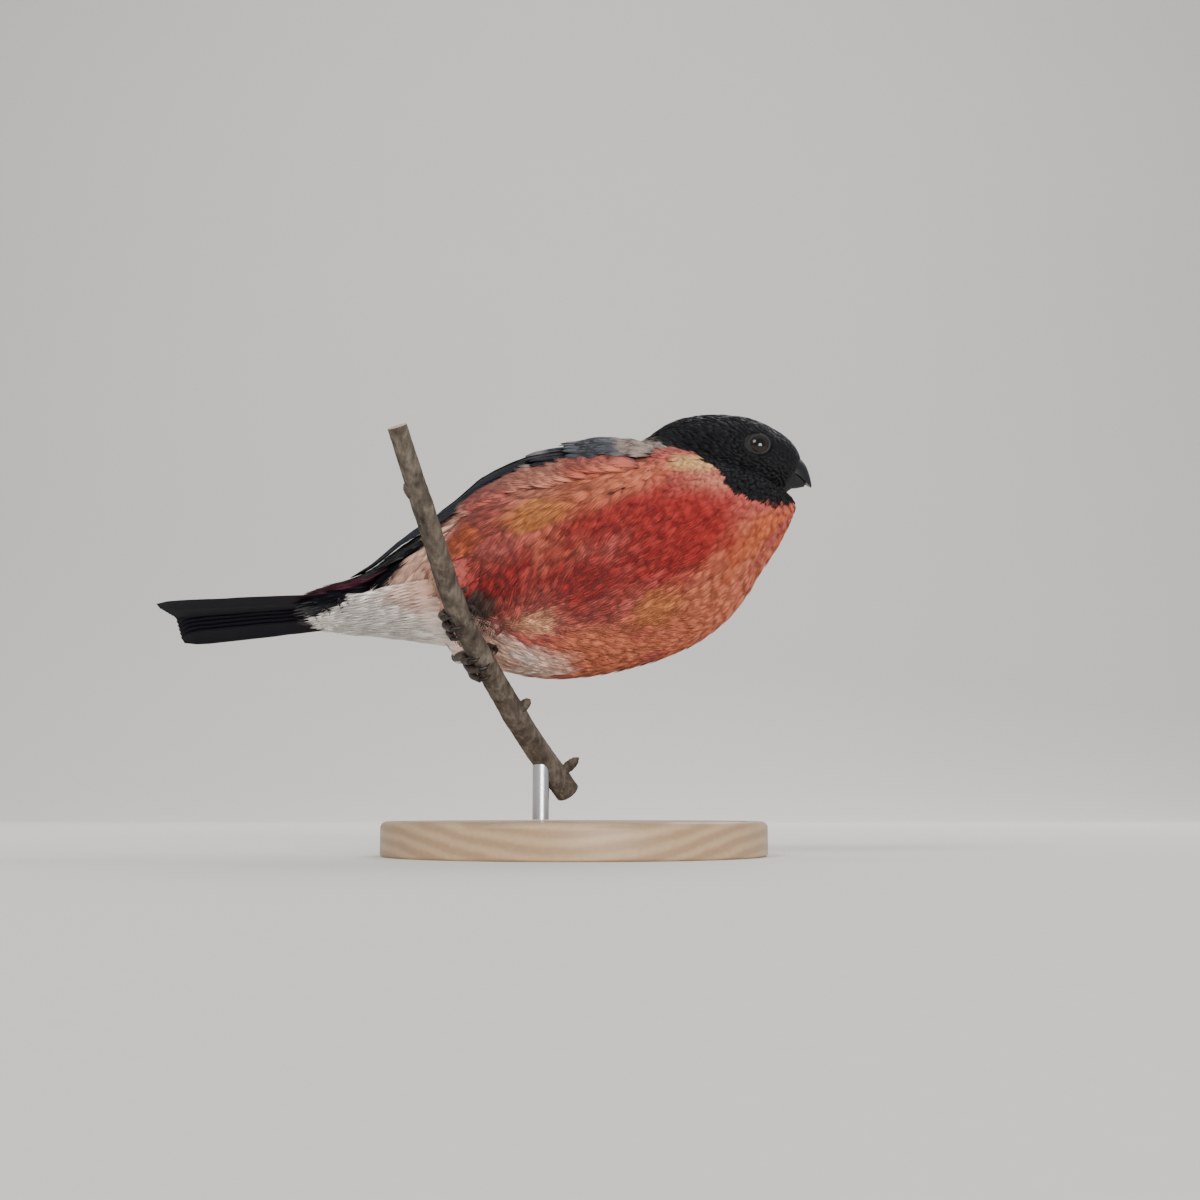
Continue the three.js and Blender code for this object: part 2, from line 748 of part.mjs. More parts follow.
// The twig with its buds, which point up and away from the bird
function makeTwig() {
  const shoots = buds.map((bud) => {
    const way = bud.lean.clone().normalize();
    const at = twigLine.getPoint(bud.share);
    const points = [0.3, 0.6, 0.85, 1].map((part) => {
      return at.clone().addScaledVector(way, part * (twigRadius(bud.share) + bud.length));
    });
    return limb(points, budRadii, 6, 3);
  });
  return geometryOf(joined([stem(0), ...shoots]));
}

// The stand's base: a disc with rounded edges
function makeBase() {
  const profile = [
    new THREE.Vector2(0, 0),
    new THREE.Vector2(baseRadius - baseEdge / 2, 0),
    new THREE.Vector2(baseRadius, baseEdge / 2),
    new THREE.Vector2(baseRadius, baseHeight - baseEdge),
    new THREE.Vector2(baseRadius - baseEdge * 0.3, baseHeight - baseEdge * 0.3),
    new THREE.Vector2(baseRadius - baseEdge, baseHeight),
    new THREE.Vector2(0, baseHeight),
  ];
  return new THREE.LatheGeometry(profile, 48).rotateX(Math.PI / 2);
}

// The rod, from the base up to the twig, hollowed at its top to the twig's round
function makeRod() {
  const rod = new THREE.CylinderGeometry(rodRadius, rodRadius, rodLength, 20);
  rod.rotateX(Math.PI / 2);
  rod.translate(rodPlace.x, rodPlace.y, baseHeight + seam + rodLength / 2);
  const pieces = solidOf(rod).subtract(solidOf(stem(seam))).decompose();
  pieces.sort((a, b) => a.boundingBox().min[2] - b.boundingBox().min[2]);
  return geometryOf(pieces[0]);
}

function addMesh(group, name, geometry, colour, roughness, metalness = 0) {
  const material = new THREE.MeshStandardMaterial({ color: colour, roughness, metalness });
  const mesh = new THREE.Mesh(geometry, material);
  mesh.name = name;
  group.add(mesh);
}

// The bird's own group, turned and set over the stand
function makeBird() {
  const bird = new THREE.Group();
  bird.position.copy(bodyPlace);
  bird.quaternion.copy(bodyTurn);
  const body = flesh(0);
  const clearance = flesh(seam + 0.05);
  addMesh(bird, 'head', makeHead(body), colours.cap, 0.55);
  const neckPiece = body.intersect(behind(headCut)).intersect(aheadOf(neckCut));
  addMesh(bird, 'neck', geometryOf(neckPiece), colours.rose, 0.85);
  const torso = body.intersect(behind(neckCut)).intersect(aheadOf(rumpCut));
  addMesh(bird, 'torso', geometryOf(torso), colours.rose, 0.85);
  const rump = body.intersect(behind(rumpCut)).intersect(aheadOf(tailCut));
  addMesh(bird, 'rump', geometryOf(rump), colours.blush, 0.9);
  addMesh(bird, 'tail', makeTail(body), colours.tail, 0.45);
  addMesh(bird, 'wing_left', makeWing(1, clearance), colours.wing, 0.5);
  addMesh(bird, 'wing_right', makeWing(-1, clearance), colours.wing, 0.5);

  const face = new THREE.Group();
  face.position.copy(neckPivot);
  face.quaternion.copy(headInBody);
  bird.add(face);
  addMesh(face, 'bill_upper', makeUpperBill(), colours.bill, 0.35);
  addMesh(face, 'bill_lower', geometryOf(solidOf(billHalf(lowerBill, -1, 0))), colours.bill, 0.35);
  addMesh(face, 'eye_left', eyeball(1, eyeRadius), colours.eye, 0.08);
  addMesh(face, 'eye_right', eyeball(-1, eyeRadius), colours.eye, 0.08);
  return { bird, clearance };
}

// Legs, twig and stand are set in the part's own frame
const { bird, clearance } = makeBird();
const bodyClearance = solidOf(geometryOf(clearance).applyMatrix4(bodyFrame));

const model = new THREE.Group();
model.add(bird);
Object.entries(grips).forEach(([side, grip]) => {
  addMesh(model, 'leg_' + side, makeLeg(grip, bodyClearance), colours.leg, 0.6);
  addMesh(model, 'thigh_' + side, makeThigh(grip, bodyClearance), colours.down, 0.9);
});
addMesh(model, 'perch_twig', makeTwig(), colours.bark, 0.9);
addMesh(model, 'stand_base', makeBase(), colours.wood, 0.6);
addMesh(model, 'stand_rod', makeRod(), colours.rod, 0.35, 1);

export default model;
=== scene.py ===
import heapq
import math

import bmesh
import bpy
import numpy as np
from mathutils import Matrix, Vector, noise
from mathutils.bvhtree import BVHTree
from mathutils.kdtree import KDTree


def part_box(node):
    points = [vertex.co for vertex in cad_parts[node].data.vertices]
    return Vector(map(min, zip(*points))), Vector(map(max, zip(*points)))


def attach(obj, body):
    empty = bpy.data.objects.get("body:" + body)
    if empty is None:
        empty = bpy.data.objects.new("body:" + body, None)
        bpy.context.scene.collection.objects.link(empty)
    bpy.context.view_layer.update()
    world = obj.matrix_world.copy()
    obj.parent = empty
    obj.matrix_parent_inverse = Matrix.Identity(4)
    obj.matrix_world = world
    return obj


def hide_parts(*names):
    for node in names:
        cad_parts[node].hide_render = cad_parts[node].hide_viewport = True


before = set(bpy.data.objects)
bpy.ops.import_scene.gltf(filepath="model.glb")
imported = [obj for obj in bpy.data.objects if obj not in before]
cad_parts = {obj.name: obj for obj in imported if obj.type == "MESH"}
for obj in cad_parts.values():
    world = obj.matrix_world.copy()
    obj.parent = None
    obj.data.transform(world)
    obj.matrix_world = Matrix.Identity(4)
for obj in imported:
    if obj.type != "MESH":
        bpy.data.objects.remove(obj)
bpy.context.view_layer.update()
print("frame loaded,", len(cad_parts), "nodes")

mm = 0.001
random = np.random.default_rng(41)

pose = {
    "place": (6, 0, 70),           # middle of the trunk over the stand
    "yaw": -12, "roll": -20,
    "headYaw": -5, "headRoll": -2,
    "neckPivot": (23.3, 0, 22.9),  # in the body's own frame
}

# Rings across the spine, each x, z, half height and half width, as the solids have them
shapes = {
    "trunk": [
        (-77, -12.0, 0.9, 2.6), (-69, -11.7, 3.2, 6.0), (-61, -11.1, 4.9, 8.0),
        (-53, -9.7, 7.6, 10.0), (-44, -7.5, 12.2, 13.5), (-35, -5.9, 16.6, 17.0),
        (-25, -4.9, 23.4, 21.8), (-13, -3.2, 27.3, 24.8), (0, -0.5, 28.2, 25.8),
        (13, 3.0, 27.0, 25.4), (24, 6.8, 22.6, 22.8), (33.5, 10.2, 14.6, 17.4),
        (41, 12.4, 8.6, 11.4), (46.2, 13.4, 3.0, 3.8),
    ],
    "neck": [
        (-8, 6, 17.5, 17.0), (4, 10.5, 19.0, 18.2), (13, 16, 17.0, 16.4),
        (20, 21.5, 13.4, 13.2), (27, 25.5, 10.4, 10.4), (31, 27, 6.0, 6.0),
    ],
    "head": [
        (-13, 3.0, 5.0, 5.0), (-9, 3.5, 8.4, 8.4), (-3, 4.1, 10.6, 10.3),
        (4, 3.9, 11.4, 10.9), (11, 3.0, 11.2, 10.3), (17, 1.6, 9.5, 8.4),
        (21.2, 0.1, 7.0, 6.1), (23.6, -0.8, 3.8, 3.5),
    ],
}


def turned(yaw, roll):
    return Matrix.Rotation(math.radians(yaw), 4, "Z") @ Matrix.Rotation(math.radians(roll), 4, "X")


bodyFrame = Matrix.Translation(pose["place"]) @ turned(pose["yaw"], pose["roll"])
headFrame = (Matrix.Translation(bodyFrame @ Vector(pose["neckPivot"]))
             @ turned(pose["headYaw"], pose["headRoll"]))


def moved(points, matrix):
    m = np.array(matrix)
    return points @ m[:3, :3].T + m[:3, 3]


def unit(vectors):
    return vectors / np.maximum(np.linalg.norm(vectors, axis=-1, keepdims=True), 1e-9)


def smoothStep(low, high, values):
    t = np.clip((values - low) / (high - low), 0, 1)
    return t * t * (3 - 2 * t)


# A smooth run through rows of numbers, at shares of the way from the first row to the last
def runThrough(rows, shares):
    rows = np.asarray(rows, float)
    rows = np.vstack((2 * rows[0] - rows[1], rows, 2 * rows[-1] - rows[-2]))
    place = np.clip(np.asarray(shares, float), 0, 1) * (len(rows) - 3)
    first = np.minimum(place.astype(int), len(rows) - 4)
    t = (place - first)[:, None]
    a, b, c, d = (rows[first + k] for k in range(4))
    bend = (2 * a - 5 * b + 4 * c - d) * t ** 2 + (3 * b - a - 3 * c + d) * t ** 3
    return 0.5 * (2 * b + (c - a) * t + bend)


# A point of the curve through a few places that keeps its bends where the places are close
def curvePoint(places, share):
    places = [Vector(p) for p in places]
    places = [2 * places[0] - places[1]] + places + [2 * places[-1] - places[-2]]
    along = min(max(share, 0), 1) * (len(places) - 3)
    i = min(int(along), len(places) - 4)
    t = along - i
    a, b, c, d = places[i:i + 4]
    near, mid, far = (max((q - p).length, 1e-6) ** 0.5 for p, q in ((a, b), (b, c), (c, d)))
    leave = ((b - a) / near - (c - a) / (near + mid) + (c - b) / mid) * mid
    reach = ((c - b) / mid - (d - b) / (mid + far) + (d - c) / far) * mid
    bend = (3 * (c - b) - 2 * leave - reach) * t ** 2 + (2 * (b - c) + leave + reach) * t ** 3
    return b + leave * t + bend


# Ring building: a ring is a matrix that carries the unit circle to its place
def ringAt(at, side, up):
    turn = Matrix((side, up, side.cross(up).normalized())).transposed().to_4x4()
    return Matrix.Translation(at) @ turn


def spineRings(stations, count, inset, home):
    runs = runThrough(stations, np.linspace(0, 1, count))
    slopes = np.gradient(runs[:, :2], axis=0)
    rings = []
    for (x, z, high, wide), (dx, dz) in zip(runs, slopes):
        along = Vector((dx, 0, dz)).normalized()
        up = Vector((-along.z, 0, along.x)) * max(high - inset, 0.12)
        rings.append(home @ ringAt(Vector((x, 0, z)), Vector((0, max(wide - inset, 0.12), 0)), up))
    return rings


def tubeRings(places, radii, count, girth=None):
    rings = []
    side = Vector((0.31, 0.87, 0.38))
    radii = runThrough(np.array(radii, float)[:, None], np.linspace(0, 1, count))[:, 0]
    for i in range(count):
        share = i / (count - 1)
        ahead = curvePoint(places, share + 1e-3) - curvePoint(places, share - 1e-3)
        along = ahead.normalized()
        side = (side - along * side.dot(along)).normalized()
        radius = radii[i] * (girth(share) if girth else 1)
        rings.append(ringAt(curvePoint(places, share), side * radius, along.cross(side) * radius))
    return rings


def loftRings(bm, rings, sides):
    loops = []
    for ring in rings:
        verts = bmesh.ops.create_circle(bm, segments=sides, radius=1, matrix=ring)["verts"]
        loops.append(list(dict.fromkeys(edge for vert in verts for edge in vert.link_edges)))
    for near, far in zip(loops, loops[1:]):
        bmesh.ops.bridge_loops(bm, edges=near + far)
    for loop in (loops[0], loops[-1]):
        bmesh.ops.edgeloop_fill(bm, edges=loop)
    return loops


def pieceFrom(bm, name, material, nodes=(), sharp=None):
    bmesh.ops.recalc_face_normals(bm, faces=bm.faces)
    bmesh.ops.scale(bm, vec=(mm, mm, mm), verts=bm.verts)
    mesh = bpy.data.meshes.new(name)
    bm.to_mesh(mesh)
    bm.free()
    return dressed(mesh, name, material, nodes, sharp)


def dressed(mesh, name, material, nodes=(), sharp=None):
    for one in material if isinstance(material, (list, tuple)) else [material]:
        mesh.materials.append(one)
    mesh.shade_smooth()
    if sharp:
        mesh.set_sharp_from_angle(angle=math.radians(sharp))
    piece = bpy.data.objects.new(name, mesh)
    bpy.context.scene.collection.objects.link(piece)
    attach(piece, "root")
    if nodes:
        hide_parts(*nodes)
    return piece


# Shader parts. The groups put out colours, masks and heights; the shaders stay in the materials.
def makeGroup(name, inputs, outputs):
    group = bpy.data.node_groups.new(name, "ShaderNodeTree")
    for label, kind, value in inputs:
        socket = group.interface.new_socket(label, in_out="INPUT", socket_type=kind)
        socket.default_value = value
    for label, kind in outputs:
        group.interface.new_socket(label, in_out="OUTPUT", socket_type=kind)
    return group, group.nodes.new("NodeGroupInput"), group.nodes.new("NodeGroupOutput")


def addNode(tree, kind, **values):
    node = tree.nodes.new("ShaderNode" + kind)
    for key, value in values.items():
        if key in node.bl_rna.properties:
            setattr(node, key, value)
        else:
            node.inputs[key.replace("_", " ")].default_value = value
    return node


def mathNode(tree, operation, first, second=None):
    node = tree.nodes.new("ShaderNodeMath")
    node.operation = operation
    for socket, value in zip(node.inputs, (first, second)):
        if isinstance(value, bpy.types.NodeSocket):
            tree.links.new(value, socket)
        elif value is not None:
            socket.default_value = value
    return node.outputs[0]


# A texture over the object's own coordinates, turned or stretched where asked
def textureOn(tree, kind, mapping=None, **values):
    place = addNode(tree, "TexCoord").outputs["Object"]
    if mapping:
        mapped = addNode(tree, "Mapping", **mapping)
        tree.links.new(place, mapped.inputs["Vector"])
        place = mapped.outputs["Vector"]
    texture = addNode(tree, kind, **values)
    tree.links.new(place, texture.inputs["Vector"])
    return texture


# A run of colours, each at its place between 0 and 1
def rampOf(tree, source, first, last, middle=None):
    ramp = addNode(tree, "ValToRGB")
    stops = ramp.color_ramp.elements
    for stop, (place, colour) in ((stops[0], first), (stops[1], last)):
        stop.position, stop.color = place, (*colour, 1)
    if middle:
        stops.new(middle[0]).color = (*middle[1], 1)
    tree.links.new(source, ramp.inputs["Fac"])
    return ramp.outputs["Color"]


# Mottle: the given colour, made a little lighter and darker in soft patches and fine grains
def makeMottleGroup():
    group, inside, outside = makeGroup(
        "mottle",
        [("Color", "NodeSocketColor", (0.5, 0.5, 0.5, 1)), ("Patch Scale", "NodeSocketFloat", 90.0),
         ("Grain Scale", "NodeSocketFloat", 900.0), ("Depth", "NodeSocketFloat", 0.3)],
        [("Color", "NodeSocketColor"), ("Mask", "NodeSocketFloat")])
    patches = textureOn(group, "TexNoise", Detail=3.0)
    grains = textureOn(group, "TexNoise", Detail=2.0)
    group.links.new(inside.outputs["Patch Scale"], patches.inputs["Scale"])
    group.links.new(inside.outputs["Grain Scale"], grains.inputs["Scale"])
    both = mathNode(group, "ADD", patches.outputs["Fac"], grains.outputs["Fac"])
    swing = mathNode(group, "SUBTRACT", both, 1.0)
    factor = mathNode(group, "MULTIPLY", swing, inside.outputs["Depth"])
    gain = mathNode(group, "ADD", factor, 1.0)
    tint = addNode(group, "VectorMath", operation="SCALE")
    group.links.new(inside.outputs["Color"], tint.inputs[0])
    group.links.new(gain, tint.inputs["Scale"])
    group.links.new(tint.outputs["Vector"], outside.inputs["Color"])
    group.links.new(both, outside.inputs["Mask"])
    return group


# Barbs: lines that run out from the shaft and towards the tip, on the map named Barbs, in two
# widths: how fast each turns for a line, and its share of the height
barbWaves = [(2 * math.pi, 0.6), (0.46 * math.pi, 0.4)]


def makeBarbGroup():
    group, inside, outside = makeGroup(
        "barbs",
        [("Color", "NodeSocketColor", (0.5, 0.5, 0.5, 1)), ("Lines", "NodeSocketFloat", 24.0),
         ("Slant", "NodeSocketFloat", 1.3), ("Depth", "NodeSocketFloat", 0.2)],
        [("Color", "NodeSocketColor"), ("Height", "NodeSocketFloat")])
    spot = addNode(group, "UVMap", uv_map="Barbs")
    parts = addNode(group, "SeparateXYZ")
    group.links.new(spot.outputs["UV"], parts.inputs[0])
    aside = mathNode(group, "ABSOLUTE", mathNode(group, "SUBTRACT", parts.outputs["X"], 0.5))
    slide = mathNode(group, "MULTIPLY", aside, inside.outputs["Slant"])
    run = mathNode(group, "SUBTRACT", parts.outputs["Y"], slide)
    turns = mathNode(group, "MULTIPLY", run, inside.outputs["Lines"])
    waves = []
    for pace, share in barbWaves:
        line = mathNode(group, "SINE", mathNode(group, "MULTIPLY", turns, pace))
        waves.append(mathNode(group, "MULTIPLY", line, share))
    height = mathNode(group, "MULTIPLY_ADD", mathNode(group, "ADD", *waves), 0.5)
    height.node.inputs[2].default_value = 0.5
    shade = mathNode(group, "MULTIPLY", mathNode(group, "SUBTRACT", height, 0.5), inside.outputs["Depth"])
    tint = addNode(group, "VectorMath", operation="SCALE")
    group.links.new(inside.outputs["Color"], tint.inputs[0])
    group.links.new(mathNode(group, "ADD", shade, 1.0), tint.inputs["Scale"])
    group.links.new(tint.outputs["Vector"], outside.inputs["Color"])
    group.links.new(height, outside.inputs["Height"])
    return group


mottleGroup = makeMottleGroup()
barbGroup = makeBarbGroup()


def newMaterial(name, **values):
    material = bpy.data.materials.new(name)
    material.use_nodes = True
    shader = material.node_tree.nodes["Principled BSDF"]
    for key, value in values.items():
        shader.inputs[key.replace("_", " ")].default_value = value
    return material, material.node_tree, shader


def placeGroup(tree, group, **values):
    node = tree.nodes.new("ShaderNodeGroup")
    node.node_tree = group
    for key, value in values.items():
        node.inputs[key.replace("_", " ")].default_value = value
    return node


def mottled(tree, source=None, **values):
    mottle = placeGroup(tree, mottleGroup, **values)
    if source:
        tree.links.new(source, mottle.inputs["Color"])
    return mottle


def paintWith(tree, node, shader):
    tree.links.new(node.outputs["Color"], shader.inputs["Base Color"])


def bumpFrom(tree, height, shader, strength, distance):
    bump = addNode(tree, "Bump", Strength=strength, Distance=distance)
    tree.links.new(height, bump.inputs["Height"])
    tree.links.new(bump.outputs["Normal"], shader.inputs["Normal"])


# A feather finish: the painted markings, with the painted shade at the feathers' roots and on the skin,
# mottled, with barbs where lines are asked for
def featherMaterial(name, lines, depth, patch=0.25, **values):
    material, tree, shader = newMaterial(name, **values)
    paint = addNode(tree, "Attribute", attribute_name="markingsAndShade")
    mottle = mottled(tree, paint.outputs["Color"], Depth=patch)
    if not lines:
        paintWith(tree, mottle, shader)
        bumpFrom(tree, mottle.outputs["Mask"], shader, 0.3, 0.0001)
        return material
    barbs = placeGroup(tree, barbGroup, Lines=lines, Depth=depth)
    tree.links.new(mottle.outputs["Color"], barbs.inputs["Color"])
    paintWith(tree, barbs, shader)
    bumpFrom(tree, barbs.outputs["Height"], shader, 0.45, 0.00006)
    return material


softFeathers = featherMaterial("soft feathers", 12.0, 0.3, Roughness=0.8, Sheen_Weight=0.12,
                               Sheen_Roughness=0.4, Specular_IOR_Level=0.15)
capFeathers = featherMaterial("glossy black feathers", 9.0, 0.25, Roughness=0.48,
                              Specular_IOR_Level=0.18, Coat_Weight=0.04, Coat_Roughness=0.45,
                              Coat_Tint=(0.6, 0.7, 1, 1))
flightFeathers = featherMaterial("flight feathers", 46.0, 0.4, 0.12, Roughness=0.5,
                                 Specular_IOR_Level=0.06, Coat_Weight=0.03, Coat_Roughness=0.3,
                                 Coat_Tint=(0.62, 0.66, 1, 1))
skinFinish = featherMaterial("skin", 0, 0, Roughness=0.85)
print("feather finishes made")


# The skin: trunk, neck, head and thighs in one closed surface, inside the coat
skinLook = {
    "depth": {"trunk": 2.0, "neck": 1.5, "head": 0.9},                 # how far it lies inside the solids
    "rings": {"trunk": (44, 40), "neck": (14, 36), "head": (24, 36)},  # along each part, and round it
    "voxel": 0.52, "smoothing": 6,
    "thighs": {
        "left": [(-18, 3, 52), (-23.2, 0, 49), (-27.5, -2.5, 46.5)],
        "right": [(-19, -13, 60), (-25.9, -14.4, 63.6), (-31.5, -15.5, 66.5)],
    },
    "thighRadii": (3.4, 2.7, 1.5), "thighRings": (8, 20),
}


def makeSkin():
    bm = bmesh.new()
    for part, (count, sides) in skinLook["rings"].items():
        home = headFrame if part == "head" else bodyFrame
        loftRings(bm, spineRings(shapes[part], count, skinLook["depth"][part], home), sides)
    count, sides = skinLook["thighRings"]
    for places in skinLook["thighs"].values():
        loftRings(bm, tubeRings(places, skinLook["thighRadii"], count), sides)
    bmesh.ops.recalc_face_normals(bm, faces=bm.faces)
    rough = bpy.data.meshes.new("roughSkin")
    bm.to_mesh(rough)
    bm.free()
    holder = bpy.data.objects.new("roughSkin", rough)
    bpy.context.scene.collection.objects.link(holder)
    remesh = holder.modifiers.new("even", "REMESH")
    remesh.mode = "VOXEL"
    remesh.voxel_size = skinLook["voxel"]
    depsgraph = bpy.context.evaluated_depsgraph_get()
    even = bpy.data.meshes.new_from_object(holder.evaluated_get(depsgraph))
    bpy.data.objects.remove(holder)
    bm = bmesh.new()
    bm.from_mesh(even)
    for _ in range(skinLook["smoothing"]):
        bmesh.ops.smooth_vert(bm, verts=bm.verts, factor=0.5,
                              use_axis_x=True, use_axis_y=True, use_axis_z=True)
    bm.to_mesh(even)
    bm.free()
    return even


def listed(rows, key, width, kind=float):
    values = np.empty(len(rows) * width, kind)
    rows.foreach_get(key, values)
    return values.reshape(-1, width)


skinMesh = makeSkin()
skinCount = len(skinMesh.vertices)
skinPoints = listed(skinMesh.vertices, "co", 3)
skinOuts = unit(listed(skinMesh.vertex_normals, "vector", 3))
skinEdges = listed(skinMesh.edges, "vertices", 2, int)
skinFaces = [tuple(face.vertices) for face in skinMesh.polygons]
faceOuts = unit(np.array([skinOuts[list(face)].sum(0) for face in skinFaces]))
skinTree = BVHTree.FromPolygons([tuple(p) for p in skinPoints], skinFaces)
print("skin:", skinCount, "points")


# The lie of the coat: away from the bill over the skin, by the distance walked on it
def spreadOver(values, rounds):
    a, b = skinEdges.T
    count = np.bincount(skinEdges.ravel(), minlength=skinCount)
    flat = values.reshape(skinCount, -1)
    for _ in range(rounds):
        total = np.zeros_like(flat)
        np.add.at(total, a, flat[b])
        np.add.at(total, b, flat[a])
        flat = 0.5 * flat + 0.5 * total / count[:, None]
    return flat.reshape(values.shape)


def walkFrom(start):
    lengths = np.linalg.norm(skinPoints[skinEdges[:, 0]] - skinPoints[skinEdges[:, 1]], axis=1)
    near = [[] for _ in range(skinCount)]
    for (i, j), length in zip(skinEdges.tolist(), lengths.tolist()):
        near[i].append((j, length))
        near[j].append((i, length))
    walked = [math.inf] * skinCount
    queue = [(0.0, start)]
    walked[start] = 0.0
    while queue:
        length, i = heapq.heappop(queue)
        if length > walked[i]:
            continue
        for j, step in near[i]:
            if length + step < walked[j]:
                walked[j] = length + step
                heapq.heappush(queue, (length + step, j))
    walked = np.array(walked)
    return np.where(np.isfinite(walked), walked, np.nanmax(walked[np.isfinite(walked)]))


billRoot = np.array(headFrame @ Vector((22.5, 0, -0.5)))
skinWalk = spreadOver(walkFrom(int(np.argmin(np.linalg.norm(skinPoints - billRoot, axis=1)))), 60)


def lieOfCoat():
    a, b = skinEdges.T
    step = skinPoints[b] - skinPoints[a]
    slope = ((skinWalk[b] - skinWalk[a]) / (step ** 2).sum(1))[:, None] * step
    lie = np.zeros_like(skinPoints)
    np.add.at(lie, a, slope)
    np.add.at(lie, b, slope)
    lie = spreadOver(unit(lie), 25)
    return unit(lie - skinOuts * (lie * skinOuts).sum(1, keepdims=True))


skinLie = lieOfCoat()
print("lie of the coat found")


# Places on the trunk by x, angle down from the middle of the back and lift, in the body's frame
trunkRuns = runThrough(shapes["trunk"], np.linspace(0, 1, 400))
trunkSlopes = unit(np.gradient(trunkRuns[:, :2], axis=0))
tipRest = {"from": -38, "over": 20, "high": 1.2, "wide": 0.6}  # the room that keeps a wing's tip off the rump


def onTrunk(x, angle, lift, rest=0.0):
    x, angle, lift = np.broadcast_arrays(np.asarray(x, float), np.radians(angle), lift)
    z, high, wide, dx, dz = (np.interp(x, trunkRuns[:, 0], run) for run in
                             (*trunkRuns[:, 1:].T, *trunkSlopes.T))
    past = rest * np.clip((tipRest["from"] - x) / tipRest["over"], 0, 1)
    high, wide = high + tipRest["high"] * past, wide + tipRest["wide"] * past
    zero = np.zeros_like(x)
    up = np.stack((-dz, zero, dx), -1)
    side = np.stack((zero, zero + 1, zero), -1)
    cosine, sine = np.cos(angle)[..., None], np.sin(angle)[..., None]
    out = unit(up * cosine / high[..., None] + side * sine / wide[..., None])
    at = np.stack((x, zero, z), -1) + up * high[..., None] * cosine + side * wide[..., None] * sine
    return at + out * lift[..., None], out


def trunkPlace(points):
    local = moved(points, bodyFrame.inverted())
    angle = np.degrees(np.arctan2(local[:, 1], local[:, 2] - np.interp(local[:, 0], *trunkRuns[:, :2].T)))
    return local[:, 0], angle


# The markings, with a painted shadow of the legs and painted shade under the wing's tip, as colours by place;
# the coat and the skin under it both take them
plumage = {
    "cap": (0.0035, 0.0035, 0.0045),
    "crimson": (0.31, 0.025, 0.022),
    "rose": (0.43, 0.09, 0.072),
    "coral": (0.54, 0.155, 0.082),
    "salmon": (0.6, 0.23, 0.15),
    "orange": (0.58, 0.125, 0.045),
    "ochre": (0.6, 0.225, 0.06),
    "sand": (0.8, 0.4, 0.22),
    "straw": (0.7, 0.41, 0.17),
    "peach": (0.77, 0.46, 0.34),
    "blush": (0.84, 0.56, 0.46),
    "down": (0.88, 0.81, 0.75),
    # the colour of the painted shadow of the legs on the lower belly
    "legShadow": (0.05, 0.043, 0.036),
    "ash": (0.27, 0.2, 0.17),
    "night": (0.005, 0.005, 0.008),
    "plum": (0.06, 0.014, 0.024),
    "bar": (0.3, 0.29, 0.29),
    "slate": (0.05, 0.054, 0.064),
}

# Patches of the red coat: x, angle from the back, reach along and around, colour, strength
redPatches = [
    (34, 149, 13, 18, "coral", 0.9), (26, 172, 14, 12, "coral", 0.9), (43, 143, 11, 14, "orange", 0.8),
    (3, 168, 16, 10, "coral", 1.0), (-22, 163, 10, 9, "blush", 0.9), (-14, 178, 15, 9, "blush", 1.0),
    (-18, 174, 9, 4, "down", 0.7),
    (5, 77, 18, 10, "coral", 0.9), (-10, 66, 14, 9, "salmon", 0.8), (27, 64, 8, 7, "straw", 0.9),
    (29, 86, 8, 8, "salmon", 0.7), (-11, 83, 12, 6, "ochre", 0.8), (-3.5, 110, 12, 8, "coral", 0.6),
    (22, 117, 20, 18, "crimson", 1.0), (4, 129, 21, 13, "crimson", 1.0), (8, 102, 16, 9, "crimson", 0.9),
    (-16, 119, 13, 10, "crimson", 1.0), (-23, 127, 6, 6, "crimson", 0.9), (18, 153, 8, 7, "ochre", 0.6),
    (-8, 147, 9, 7, "sand", 1.0), (-26, 86, 7, 7, "orange", 0.9),
]

# Where the other markings end. An edge given as two rows has the angle from the back first and then
# the x, but for the mantle, which has the x first.
markEdges = {
    "red": ((50, 80, 100, 120, 140, 160, 180), (-31, -37, -36, -33, -28, -21, -17)),
    "mantle": ((-22, -14, 12, 17, 22, 30), (50, 52, 56, 44, 26, 10)),
    "rump": {"x": -20, "angle": 42},
    # black behind this edge: the tail's coverts, and on the sides under the wing's tip, painted shade
    "coverts": ((32, 38, 46, 56, 75, 92), (-52, -36, -30, -35, -43, -47.5)),
    "wedge": ((98, 156, 180), (-54, -73, -63)),
    # where the painted shadow of the legs falls on the lower belly
    "byLegs": {"x": -24, "angle": 134, "girth": 22, "reach": 6},
}

# The cap's lower edge on either side, as height over the head's frame at places along it
capEdge = {
    "along": (-13, -9, -4.4, -0.4, 1.2, 5.5, 6.8, 9, 14, 19.5, 24),
    "height": (6.5, 5.6, 3.3, 2.4, -1.5, -4.4, -8.2, -9.8, -11.0, -10.4, -8.5),
    "rear": -11.0,
}


def ripple(points, size, seed):
    turns = np.random.default_rng(seed)
    total = np.zeros(len(points))
    for _ in range(5):
        way = unit(turns.normal(size=3)) * 2 * math.pi / (size * turns.uniform(0.6, 1.5))
        total += np.sin(points @ way + turns.uniform(0, 6.3))
    return total / 5 ** 0.5


def blend(colours, other, share):
    return colours + (np.asarray(other) - colours) * share[:, None]


# How far back the pale wedge under the tail reaches, by the angle; dark feathers edge it
def wedgeEnd(angle):
    return np.interp(np.abs(angle), *markEdges["wedge"])
